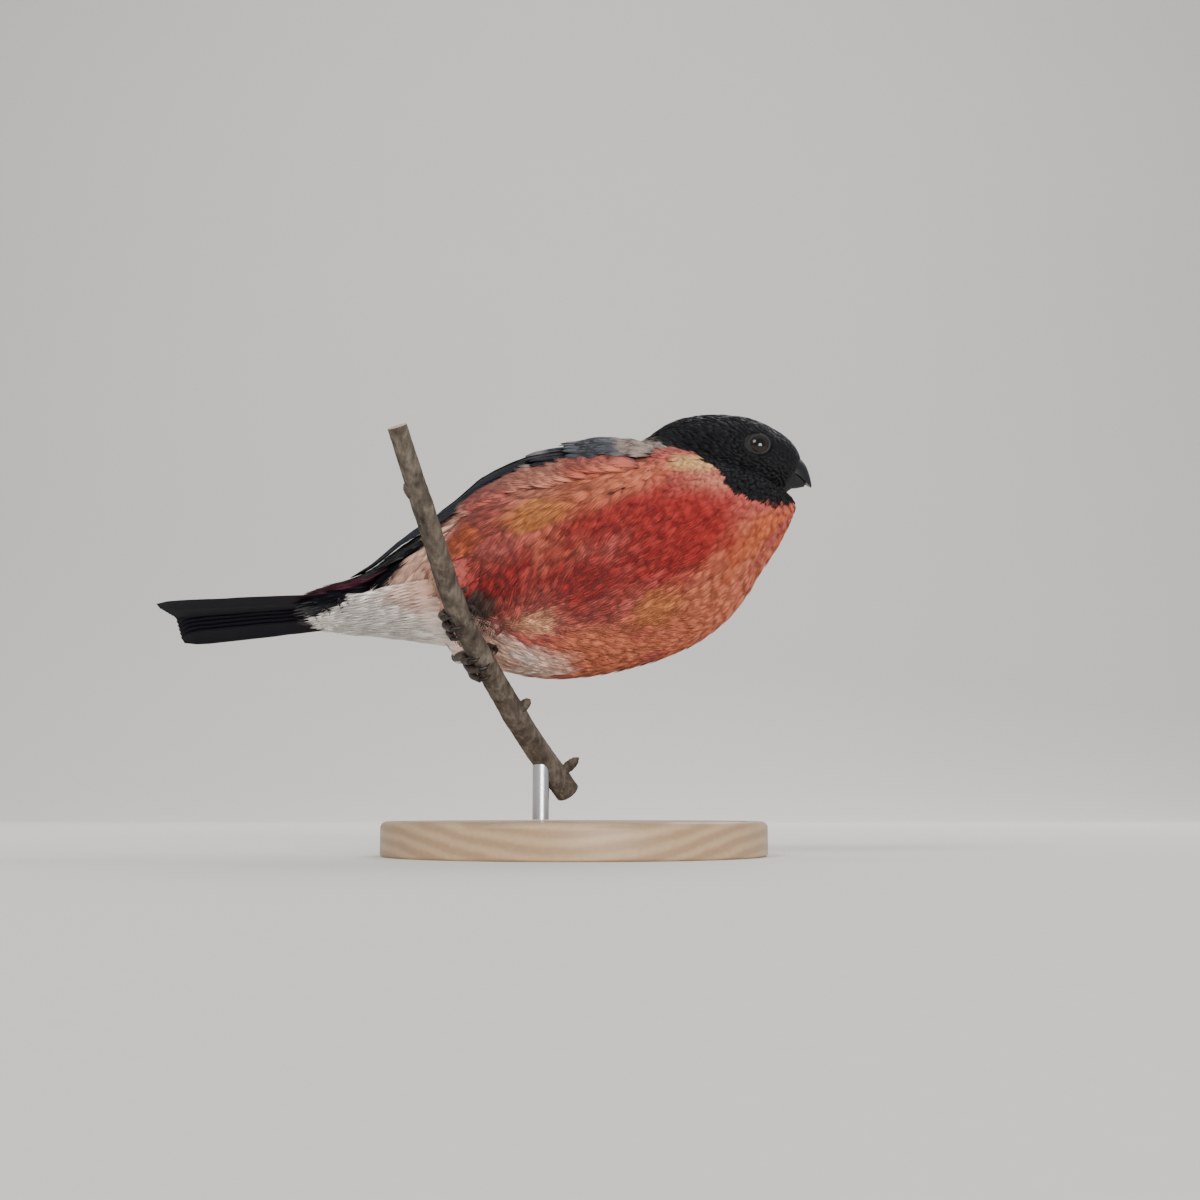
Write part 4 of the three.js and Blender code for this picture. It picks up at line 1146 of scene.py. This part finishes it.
def makeWing(name, side):
    chunks = [layWingPad(side)]
    columns = math.ceil((sum(tier["count"] for tier in wingTiers) + 1) ** 0.5)
    number = 0
    for tier in wingTiers:
        for i in range(tier["count"]):
            rank = i / (tier["count"] - 1)
            root, tip = (np.array(ends[0]) * (1 - rank) + np.array(ends[1]) * rank
                         for ends in (tier["roots"], tier["tips"]))
            tip = tip + random.normal(0, (0.35, 0.3, 0.04))
            shares = np.linspace(0, 1, wingLook["rows"])[:, None]
            x, angle, lift = (root + (tip - root) * shares).T
            at, out = onTrunk(x, side * angle, lift, 0.4)
            at, out = moved(at, bodyFrame), out @ np.array(bodyFrame)[:3, :3].T
            corner = np.array((number % columns * 0.5, number // columns)) / columns
            chunks.append(layVane(at, out, tier["half"], profiles[tier["profile"]], wingLook, rank,
                                  side, tier["paint"], (corner, np.array((0.46, 0.92)) / columns)))
            number += 1
    mesh = meshFromChunks(name, chunks)
    dressed(mesh, name, flightFeathers, (name,))


makeWing("wing_left", 1)
makeWing("wing_right", -1)
print("wings made")

tailLook = {
    "root": (-50, 0, -9.2), "length": 59, "droop": 3, "roll": -9, "pairs": 6, "step": 0.36,
    "half": 3.4, "notch": 0.7, "thick": 0.2, "camber": 0.05, "outerWeb": 0.6, "shaft": 0.13, "tilt": -6,
    "outside": 4.3,        # how far the outermost pair's web reaches past its shaft
    "rootSpread": (0.9, 0.8), "tipSpread": (1.5, 1.05),  # the middle pair's, and what each next one adds
    "rows": 20,
}


def makeTail():
    chunks = []
    home = bodyFrame @ Matrix.Translation(tailLook["root"])
    home = home @ Matrix.Rotation(-math.radians(tailLook["droop"]), 4, "Y")
    home = home @ Matrix.Rotation(math.radians(tailLook["roll"]), 4, "X")
    last, rows, half = tailLook["pairs"] - 1, tailLook["rows"], tailLook["half"]
    (root, rootStep), (tip, tipStep) = tailLook["rootSpread"], tailLook["tipSpread"]
    shares = np.linspace(0, 1, rows)
    number = 0
    for i in range(last, -1, -1):
        for side in (1, -1):
            length = tailLook["length"] - tailLook["notch"] * (1 - i / last)
            level = -tailLook["step"] * i - (tailLook["step"] / 2 if side < 0 else 0)
            near, far = root + rootStep * i, tip + tipStep * i + (tailLook["outside"] - half) * i / last
            y = side * (near + (far - near) * shares)
            at = np.stack((-length * shares, y, np.full(rows, level)), 1)
            out = np.tile((0.0, 0.0, 1.0), (rows, 1))
            patch = (np.array((number % 4 * 0.12, number // 4 * 0.33)), np.array((0.11, 0.31)))
            chunk = layVane(at, out, half, profiles["tail"], tailLook, i / last, side, paintTail, patch)
            chunk["points"] = moved(chunk["points"], home)
            chunks.append(chunk)
            number += 1
    dressed(meshFromChunks("tail", chunks), "tail", flightFeathers, ("tail",))


makeTail()
print("tail made")


# The bill: two closed halves that meet at the mouth line
billLook = {
    "place": (19.6, 0, 0.8), "droop": 28, "gap": 0.07, "bend": 0.21, "bendFrom": 5,
    # How far ahead, half height and half width
    "upper": [(-3, 4.3, 3.8), (0, 4.9, 4.2), (2.6, 4.5, 3.7), (5.2, 3.3, 2.6), (7.2, 1.8, 1.3),
              (8.4, 0.5, 0.4)],
    "lower": [(-3, 3.6, 3.5), (0, 4.0, 3.8), (2.6, 3.6, 3.3), (5.0, 2.4, 2.1), (6.8, 0.8, 0.8)],
    "rings": 26, "sides": 40,
    "keel": 0.25, "keelWidth": 0.8, "keelEnd": 8,
    "nostril": (22.4, 3.0, 2.7), "nostrilReach": 0.55, "nostrilDepth": 0.55,
}
billHome = (headFrame @ Matrix.Translation(billLook["place"])
            @ Matrix.Rotation(math.radians(billLook["droop"]), 4, "Y"))


# How far the bill has bent down, at a distance along it
def billDrop(ahead):
    return max(0, ahead - billLook["bendFrom"]) * billLook["bend"]


def makeHorn(name, colour, roughness):
    material, tree, shader = newMaterial(name, Roughness=roughness, Specular_IOR_Level=0.35)
    growth = textureOn(tree, "TexNoise", {"Scale": (1, 1, 3)}, Scale=420.0, Detail=3.0)
    paintWith(tree, mottled(tree, Color=(*colour, 1), Depth=0.5), shader)
    bumpFrom(tree, growth.outputs["Fac"], shader, 0.25, 0.00012)
    return material


def makeBill(material):
    for name, stations, sign in (("bill_upper", "upper", 1), ("bill_lower", "lower", -1)):
        bm = bmesh.new()
        rings = []
        for ahead, deep, wide in runThrough(billLook[stations], np.linspace(0, 1, billLook["rings"])):
            at = Vector((ahead, 0, -billDrop(ahead)))
            rings.append(ringAt(at, Vector((0, wide, 0)), Vector((0, 0, max(deep, 0.3)))))
        loftRings(bm, rings, billLook["sides"])
        for vert in bm.verts:  # a keel along the ridge of the bill
            if vert.co.z * sign > 0:
                ridge = math.exp(-(vert.co.y / billLook["keelWidth"]) ** 2)
                fade = min(1, max(0, (billLook["keelEnd"] - vert.co.x) / 4))
                vert.co.z += sign * billLook["keel"] * ridge * fade
        for vert in bm.verts:  # made straight for the cut along the mouth, and bent again after it
            vert.co.z += billDrop(vert.co.x)
        cut = bmesh.ops.bisect_plane(bm, geom=bm.verts[:] + bm.edges[:] + bm.faces[:],
                                     plane_co=(0, 0, sign * billLook["gap"]), plane_no=(0, 0, -sign),
                                     clear_outer=True)
        edges = [part for part in cut["geom_cut"] if isinstance(part, bmesh.types.BMEdge)]
        bmesh.ops.edgeloop_fill(bm, edges=edges)
        for vert in bm.verts:
            vert.co.z -= billDrop(vert.co.x)
        bmesh.ops.transform(bm, matrix=billHome, verts=bm.verts)
        if sign > 0:  # the nostrils are pits under the feathers of the forehead
            for side in (1, -1):
                x, y, z = billLook["nostril"]
                spot = headFrame @ Vector((x, y * side, z))
                inward = (headFrame.to_3x3() @ Vector((0.2, -side, -0.2))).normalized()
                for vert in bm.verts:
                    near = (vert.co - spot).length / billLook["nostrilReach"]
                    vert.co += inward * billLook["nostrilDepth"] * max(0, 1 - near ** 2)
        pieceFrom(bm, name, material, (name,), 40)


billHorn = makeHorn("black horn", (0.006, 0.006, 0.0075), 0.38)
makeBill(billHorn)

# Fine bristles that lie forward over the nostrils and the corners of the mouth
bristleLook = {
    "count": 64, "spread": 118, "from": -1.6, "reach": (2.6, 4.2), "radii": (0.13, 0.12, 0.08, 0.03),
    "lift": 0.42, "swing": 0.16,
}


def makeBristles(material):
    back, tip = billLook["upper"][0][0], billLook["upper"][-1][0]
    bm = bmesh.new()
    for number in range(bristleLook["count"]):
        turn = math.radians(bristleLook["spread"] * (2 * (number + 0.5) / bristleLook["count"] - 1)
                            + random.normal(0, 3))
        reach = random.uniform(*bristleLook["reach"])
        places = []
        for share in (0, 0.35, 0.7, 1):
            ahead = bristleLook["from"] + (reach - bristleLook["from"]) * share
            _, deep, wide = runThrough(billLook["upper"], [(ahead - back) / (tip - back)])[0]
            lift = 0.05 + bristleLook["lift"] * math.sin(math.pi * (0.2 + 0.6 * share))
            swing = turn + bristleLook["swing"] * share * math.sin(number * 2.4)
            y, z = (wide + lift) * math.sin(swing), (deep + lift) * math.cos(swing)
            places.append(billHome @ Vector((ahead, y, z)))
        loftRings(bm, tubeRings(places, bristleLook["radii"], 7), 6)
    pieceFrom(bm, "bristles", material, ())


bristleHorn = makeHorn("bristle", (0.006, 0.006, 0.007), 0.5)
makeBristles(bristleHorn)

# The eyes: a dark brown ball with its pupil, in a ring of lids
eyeLook = {
    "place": coatLook["eye"], "radius": 3.2, "forward": 8, "pupil": 24,
    "iris": (0.012, 0.006, 0.0035), "lidRing": 2.5, "lidThick": 0.42, "lidLift": 2.05,
    "lidShape": (1.0, 0.9), "lidSteps": 56, "lidCreases": 0.03,
}


def makeEyeFinish():
    material, tree, shader = newMaterial("eye", Roughness=0.06, Specular_IOR_Level=0.4)
    angle = addNode(tree, "Attribute", attribute_name="gaze")
    edge = eyeLook["pupil"] / 90
    iris = rampOf(tree, angle.outputs["Fac"], (edge - 0.02, (0.001, 0.001, 0.001)),
                  (edge + 0.03, eyeLook["iris"]))
    paintWith(tree, mottled(tree, iris, Depth=0.6), shader)
    return material


def makeEyes(material, lidFinish):
    forward = math.radians(eyeLook["forward"])
    for name, side in (("eye_left", 1), ("eye_right", -1)):
        spot = Vector(eyeLook["place"])
        spot.y *= side
        gaze = Vector((math.sin(forward), side * math.cos(forward), 0))
        turn = gaze.to_track_quat("Z", "X").to_matrix().to_4x4()
        home = headFrame @ Matrix.Translation(spot) @ turn
        bm = bmesh.new()
        bmesh.ops.create_uvsphere(bm, u_segments=48, v_segments=32, radius=eyeLook["radius"])
        angles = [math.degrees(vert.co.angle(Vector((0, 0, 1)))) / 90 for vert in bm.verts]
        bmesh.ops.transform(bm, matrix=home, verts=bm.verts)
        piece = pieceFrom(bm, name, material, (name,))
        layer = piece.data.attributes.new("gaze", "FLOAT", "POINT")
        layer.data.foreach_set("value", angles)

        bm = bmesh.new()
        start = Matrix.Translation((eyeLook["lidRing"], 0, 0)) @ Matrix.Rotation(math.pi / 2, 4, "X")
        loop = bmesh.ops.create_circle(bm, segments=12, radius=eyeLook["lidThick"], matrix=start)["verts"]
        edges = list(dict.fromkeys(edge for vert in loop for edge in vert.link_edges))
        bmesh.ops.spin(bm, geom=loop + edges, cent=(0, 0, 0), axis=(0, 0, 1), angle=2 * math.pi,
                       steps=eyeLook["lidSteps"], use_merge=True)
        bmesh.ops.remove_doubles(bm, verts=bm.verts, dist=1e-4)
        for vert in bm.verts:
            vert.co *= 1 + eyeLook["lidCreases"] * noise.noise(vert.co * 2.2)
        wide, high = eyeLook["lidShape"]
        bmesh.ops.scale(bm, vec=(high, wide, 1), verts=bm.verts)
        lifted = home @ Matrix.Translation((0, 0, eyeLook["lidLift"]))
        bmesh.ops.transform(bm, matrix=lifted, verts=bm.verts)
        pieceFrom(bm, name.replace("eye", "lids"), lidFinish, ())


lidSkin = makeHorn("lid skin", (0.005, 0.005, 0.006), 0.6)
makeEyes(makeEyeFinish(), lidSkin)
print("face made")

# The twig: bark with nodes, buds and cut ends
twigLook = {
    "path": [(-2, 14, 15), (-10.5, 5, 27), (-20.5, -12.5, 44), (-25.8, -22.5, 54.5), (-31, -32.5, 71),
             (-37.5, -42, 92)],
    "radii": (3.1, 3.0, 2.75, 2.65, 2.45, 2.2), "rings": 170, "sides": 30,
    # The share of the way up, the lean and the length of each bud
    "buds": [(0.06, (0.9, -0.5, 0.75), 4.6), (0.27, (0.7, -0.7, 0.6), 3.4), (0.85, (-0.8, -0.6, 0.9), 4.0)],
    "budRadii": (1.15, 1.35, 1.0, 0.2), "budRings": 26, "budSides": 14, "budScales": 4.5,
    "swell": 0.06, "swellReach": 0.018, "rough": 0.1, "grain": 0.05,
}


def twigRadius(share):
    return float(np.interp(share * 5, range(6), twigLook["radii"]))


def makeBark():
    material, tree, shader = newMaterial("bark", Roughness=0.85, Specular_IOR_Level=0.25)
    alongTwig = {"Rotation": (0.35, 0.42, 0), "Scale": (1, 1, 0.22)}
    fibres = textureOn(tree, "TexNoise", alongTwig, Scale=900.0, Detail=6.0, Roughness=0.65)
    pores = textureOn(tree, "TexVoronoi", alongTwig, Scale=520.0)
    broad = textureOn(tree, "TexNoise", Scale=210.0, Detail=4.0, Distortion=0.8)
    lichen = textureOn(tree, "TexNoise", Scale=330.0, Detail=6.0, Roughness=0.7)
    both = mathNode(tree, "ADD", fibres.outputs["Fac"], broad.outputs["Fac"])
    brown = rampOf(tree, mathNode(tree, "MULTIPLY", both, 0.5), (0.34, (0.022, 0.017, 0.014)),
                   (0.7, (0.2, 0.17, 0.14)), (0.5, (0.085, 0.066, 0.05)))
    mix = addNode(tree, "Mix", data_type="RGBA")
    mix.inputs[7].default_value = (0.17, 0.175, 0.1, 1)  # the lichen's own colour
    share = rampOf(tree, lichen.outputs["Fac"], (0.6, (0, 0, 0)), (0.7, (0.75, 0.75, 0.75)))
    tree.links.new(share, mix.inputs[0])
    tree.links.new(brown, mix.inputs[6])
    tree.links.new(mix.outputs[2], shader.inputs["Base Color"])
    pits = mathNode(tree, "MULTIPLY", pores.outputs["Distance"], 0.6)
    bumpFrom(tree, mathNode(tree, "ADD", fibres.outputs["Fac"], pits), shader, 0.9, 0.0005)
    return material


def makeCutWood():
    material, tree, shader = newMaterial("cut wood", Roughness=0.75, Specular_IOR_Level=0.3)
    mottle = mottled(tree, Color=(0.42, 0.31, 0.19, 1), Patch_Scale=700.0, Depth=0.7)
    paintWith(tree, mottle, shader)
    bumpFrom(tree, mottle.outputs["Mask"], shader, 0.4, 0.0001)
    return material


def makeTwig(bark, cutWood):
    def girth(share):
        near = [(share - bud[0]) / twigLook["swellReach"] for bud in twigLook["buds"]]
        return 0.985 + sum(twigLook["swell"] * math.exp(-gap ** 2) for gap in near)

    def scales(share):
        return 0.92 + 0.1 * (1 - (share * twigLook["budScales"]) % 1)

    bm = bmesh.new()
    rings = tubeRings(twigLook["path"], twigLook["radii"], twigLook["rings"], girth)
    loops = loftRings(bm, rings, twigLook["sides"])
    for face in bm.faces:
        if len(face.verts) > 4:
            face.material_index = 1
    ends = {vert for loop in (loops[0], loops[-1]) for edge in loop for vert in edge.verts}
    bm.normal_update()
    for vert in bm.verts:
        if vert not in ends:
            rough = noise.noise(Vector((vert.co.x, vert.co.y, vert.co.z * 0.4)) * 1.3)
            grain = noise.noise(vert.co * 3.5) - 1
            vert.co += vert.normal * (twigLook["rough"] * rough + twigLook["grain"] * grain)
    for share, lean, length in twigLook["buds"]:
        way = Vector(lean).normalized()
        at = curvePoint(twigLook["path"], share)
        places = [at + way * part * (twigRadius(share) + length) for part in (0.3, 0.6, 0.85, 1)]
        rings = tubeRings(places, twigLook["budRadii"], twigLook["budRings"], scales)
        loftRings(bm, rings, twigLook["budSides"])
    pieceFrom(bm, "perch_twig", [bark, cutWood], ("perch_twig",), 50)


makeTwig(makeBark(), makeCutWood())

# The feet: scaly toes that hug the twig, and a tarsus up to each heel
footLook = {
    "grips": {
        "left": {"share": 0.415, "heel": (-27.5, -2.5, 46.5)},
        "right": {"share": 0.575, "heel": (-31.5, -15.5, 66.5)},
    },
    "tarsus": (1.3, 1.1, 1.0, 1.05, 1.2), "toe": 0.95, "toeTip": 0.78, "clear": 0.12,
    "toes": [(1, -2.9, 1.95), (1, 0, 2.3), (1, 2.8, 1.9), (-1, 0.3, 1.7)],
    "claw": 3.4, "clawRadii": (0.6, 0.52, 0.4, 0.24, 0.07), "clawArch": 0.45,
    "palm": 1.5, "start": 0.12,
    # Rings along each form, and its sides
    "tarsusRings": (64, 18), "toeRings": (70, 16), "clawRings": (24, 14),
}


def gripFrame(grip):
    at = curvePoint(twigLook["path"], grip["share"])
    ahead, behind = (curvePoint(twigLook["path"], grip["share"] + step) for step in (1e-3, -1e-3))
    along = (ahead - behind).normalized()
    out = Vector(grip["heel"]) - at
    out = (out - along * out.dot(along)).normalized()
    return at, along, out, along.cross(out), twigRadius(grip["share"])


def onTwig(home, angle, slip, height):
    at, along, out, across, radius = home
    return at + along * slip + (out * math.cos(angle) + across * math.sin(angle)) * (radius + height)


def makeScales():
    material, tree, shader = newMaterial("leg scales", Roughness=0.5, Specular_IOR_Level=0.45)
    mottle = mottled(tree, Color=(0.032, 0.02, 0.016, 1), Patch_Scale=300.0, Depth=0.8)
    paintWith(tree, mottle, shader)
    cells = textureOn(tree, "TexVoronoi", Scale=1500.0)
    bumpFrom(tree, cells.outputs["Distance"], shader, 0.5, 0.0001)
    return material


# Plates along a tarsus or toe, each a little over the next one
def plates(share, count, depth):
    return depth * (1 - (share * count) % 1)


def tarsusGirth(share):
    return 0.95 + plates(share, 9, 0.1)


def toeGirth(share):
    return 1 + 0.09 * math.cos(share * 6 * math.pi) + plates(share, 14, 0.05)


def makeFoot(side, grip, scales, clawHorn):
    home = gripFrame(grip)
    twig = home[-1]
    heel = Vector(grip["heel"])
    clear, toe, toeTip, start = (footLook[key] for key in ("clear", "toe", "toeTip", "start"))
    sole = onTwig(home, 0, 0, clear + toe + 0.3)

    bm = bmesh.new()
    places = [heel + (heel - sole) * 0.12, heel.lerp(sole, 0.5), sole]
    count, sides = footLook["tarsusRings"]
    loftRings(bm, tubeRings(places, footLook["tarsus"], count, tarsusGirth), sides)
    palm = Matrix.Translation(onTwig(home, 0, 0, clear + footLook["palm"]))
    bmesh.ops.create_uvsphere(bm, u_segments=20, v_segments=14, radius=footLook["palm"], matrix=palm)
    claws = bmesh.new()
    for way, slip, sweep in footLook["toes"]:
        places = []
        for share in np.linspace(0, 1, 7).tolist():
            radius = toe + (toeTip - toe) * share
            turn = way * (start + (sweep - start) * share)
            places.append(onTwig(home, turn, slip * math.sqrt(share), clear + radius * 1.02))
        count, sides = footLook["toeRings"]
        radii = (toe, toe * 0.97, toe * 0.9, toeTip)
        loftRings(bm, tubeRings(places, radii, count, toeGirth), sides)
        places = []
        for share in np.linspace(0, 1, 5).tolist():
            turn = way * (sweep - start + share * footLook["claw"] / (twig + 1))
            low = clear + toeTip * (1 - share) + 0.3 * share
            places.append(onTwig(home, turn, slip, low + footLook["clawArch"] * math.sin(math.pi * share)))
        count, sides = footLook["clawRings"]
        loftRings(claws, tubeRings(places, footLook["clawRadii"], count), sides)
    pieceFrom(bm, "leg_" + side, scales, ("leg_" + side,), 35)
    pieceFrom(claws, "claws_" + side, clawHorn, ())


legScales = makeScales()
clawHorn = makeHorn("claw horn", (0.014, 0.011, 0.01), 0.3)
for side, grip in footLook["grips"].items():
    makeFoot(side, grip, legScales, clawHorn)
print("feet made")

# The stand: a turned base and a short rod
standLook = {
    "radius": 45, "height": 8, "edge": 1.5, "steps": 128,
    "groove": 40, "grooveWidth": 0.7, "grooveDepth": 0.45,
    "rod": 2, "rodPlace": (-8.2, 7.4), "rodSides": 48, "seat": 0.2,
}


def makeTurnedWood():
    material, tree, shader = newMaterial("turned wood", Roughness=0.42, Specular_IOR_Level=0.4)
    plank = {"Location": (0, 0.013, 0.052), "Rotation": (0, 0.05, 0.03), "Scale": (0.35, 1, 1)}
    rings = textureOn(tree, "TexWave", plank, wave_type="RINGS", rings_direction="X", Scale=105.0,
                      Distortion=2.6, Detail=3.0)
    fine = textureOn(tree, "TexNoise", {"Scale": (1, 22, 22)}, Scale=70.0, Detail=5.0, Roughness=0.6)
    grain = mathNode(tree, "ADD", mathNode(tree, "MULTIPLY", rings.outputs["Fac"], 0.55),
                     mathNode(tree, "MULTIPLY", fine.outputs["Fac"], 0.45))
    wood = rampOf(tree, grain, (0.3, (0.33, 0.215, 0.125)), (0.75, (0.43, 0.295, 0.175)))
    paintWith(tree, mottled(tree, wood, Patch_Scale=40.0, Depth=0.2), shader)
    bumpFrom(tree, fine.outputs["Fac"], shader, 0.2, 0.0001)
    return material


def makeSteel():
    material, tree, shader = newMaterial("satin steel", Base_Color=(0.55, 0.55, 0.56, 1), Metallic=1.0)
    lines = textureOn(tree, "TexNoise", {"Scale": (1, 1, 40)}, Scale=120.0, Detail=2.0)
    rough = mathNode(tree, "MULTIPLY_ADD", lines.outputs["Fac"], 0.25)
    rough.node.inputs[2].default_value = 0.2
    tree.links.new(rough, shader.inputs["Roughness"])
    return material


def makeStand():
    radius, height, edge = standLook["radius"], standLook["height"], standLook["edge"]
    foot = edge / 2
    outline = [(0, 0), (radius - foot, 0)]
    outline += [(radius - foot + foot * math.sin(t), foot - foot * math.cos(t))
                for t in np.linspace(0.2, math.pi / 2, 5)]
    outline += [(radius - edge + edge * math.cos(t), height - edge + edge * math.sin(t))
                for t in np.linspace(0, math.pi / 2, 9)]
    groove, wide, deep = (standLook[key] for key in ("groove", "grooveWidth", "grooveDepth"))
    outline += [(groove + wide * math.cos(t), height - deep * math.sin(t))
                for t in np.linspace(0, math.pi, 9)]
    outline.append((0, height))
    bm = bmesh.new()
    verts = [bm.verts.new((x, 0, z)) for x, z in outline]
    edges = [bm.edges.new(pair) for pair in zip(verts, verts[1:])]
    bmesh.ops.spin(bm, geom=verts + edges, cent=(0, 0, 0), axis=(0, 0, 1), angle=2 * math.pi,
                   steps=standLook["steps"], use_merge=True)
    bmesh.ops.remove_doubles(bm, verts=bm.verts, dist=1e-4)
    pieceFrom(bm, "stand_base", makeTurnedWood(), ("stand_base",), 40)

    # The rod's top is hollowed to the underside of the twig that rests on it
    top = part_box("stand_rod")[1].z / mm
    rod, (x, y) = standLook["rod"], standLook["rodPlace"]
    shares = np.linspace(0, 0.5, 240)
    spine = np.array([curvePoint(twigLook["path"], share) for share in shares])
    girths = np.array([twigRadius(share) for share in shares])
    rings = [(rod, height + 0.3), (rod, height + 2)]
    rings += [(rod * part, top) for part in (1, 0.97, 0.75, 0.5, 0.25, 0.04)]
    rings = [ringAt(Vector((x, y, z)), Vector((r, 0, 0)), Vector((0, r, 0))) for r, z in rings]
    bm = bmesh.new()
    loftRings(bm, rings, standLook["rodSides"])
    levels = np.arange(height + 3, top, 0.05)
    for vert in bm.verts:
        if vert.co.z > height + 3:
            column = np.array([(vert.co.x, vert.co.y, level) for level in levels])
            gaps = (np.linalg.norm(column[:, None] - spine[None], axis=2) - girths).min(1)
            inside = np.flatnonzero(gaps < standLook["seat"])
            if len(inside):
                vert.co.z = levels[inside[0]]
    pieceFrom(bm, "stand_rod", makeSteel(), ("stand_rod",), 40)


makeStand()
print("stand made")

# Floor, backdrop, lights and camera
studio = {
    "floor": (0.74, 0.72, 0.68), "sweep": 2.5, "bend": 1.3, "wide": 7, "high": 3.2,
    "world": (0.93, 0.95, 1, 1), "worldStrength": 0.55,
    "camera": (0.006, -0.35516, 0.01039), "lens": 45, "lookUp": 8,
    "lights": [
        {"at": (-0.9, -1.3, 1.3), "aim": (0, 0, 0.06), "size": 0.9, "power": 18.5, "colour": (1, 0.98, 0.94)},
        {"at": (0.5, -1.5, 0.16), "aim": (0, 0, 0.04), "size": 0.8, "power": 32, "colour": (1, 0.99, 0.97)},
        {"at": (0.4, 1.0, 1.1), "aim": (0, 0, 0.06), "size": 0.8, "power": 9, "colour": (1, 1, 1)},
        {"at": (0, 0.6, 1.6), "aim": (0, 2.4, 0.5), "size": 1.6, "power": 16, "colour": (1, 1, 1)},
    ],
}


def makeStudio():
    material, tree, shader = newMaterial("studio floor", Roughness=0.9, Specular_IOR_Level=0.2)
    mottle = mottled(tree, Color=(*studio["floor"], 1), Patch_Scale=3.0, Grain_Scale=500.0, Depth=0.04)
    paintWith(tree, mottle, shader)
    reach, bend = studio["sweep"], studio["bend"]
    outline = [(-reach, 0), (reach - bend, 0)]
    outline += [(reach - bend + bend * math.sin(t), bend - bend * math.cos(t))
                for t in np.linspace(0.1, math.pi / 2, 12)]
    outline.append((reach, studio["high"]))
    bm = bmesh.new()
    verts = [bm.verts.new((-studio["wide"] / 2, y, z)) for y, z in outline]
    edges = [bm.edges.new(pair) for pair in zip(verts, verts[1:])]
    drawn = bmesh.ops.extrude_edge_only(bm, edges=edges)["geom"]
    far = [part for part in drawn if isinstance(part, bmesh.types.BMVert)]
    bmesh.ops.translate(bm, vec=(studio["wide"], 0, 0), verts=far)
    mesh = bpy.data.meshes.new("floor")
    bm.to_mesh(mesh)
    bm.free()
    mesh.shade_smooth()
    mesh.materials.append(material)
    floor = bpy.data.objects.new("floor", mesh)
    bpy.context.scene.collection.objects.link(floor)

    for number, look in enumerate(studio["lights"]):
        light = bpy.data.lights.new("softbox%d" % number, "AREA")
        light.shape = "DISK"
        light.size, light.energy, light.color = look["size"], look["power"], look["colour"]
        lamp = bpy.data.objects.new(light.name, light)
        lamp.location = look["at"]
        lamp.rotation_euler = (Vector(look["aim"]) - lamp.location).to_track_quat("-Z", "Y").to_euler()
        bpy.context.scene.collection.objects.link(lamp)

    world = bpy.data.worlds.new("studio")
    world.use_nodes = True
    backdrop = world.node_tree.nodes["Background"]
    backdrop.inputs["Color"].default_value = studio["world"]
    backdrop.inputs["Strength"].default_value = studio["worldStrength"]
    bpy.context.scene.world = world

    camera = bpy.data.cameras.new("camera")
    camera.lens, camera.sensor_width, camera.clip_start = studio["lens"], 36, 0.01
    viewer = bpy.data.objects.new("camera", camera)
    viewer.location = studio["camera"]
    viewer.rotation_euler = (math.radians(90 + studio["lookUp"]), 0, 0)
    bpy.context.scene.collection.objects.link(viewer)
    bpy.context.scene.camera = viewer


makeStudio()
print("studio set")
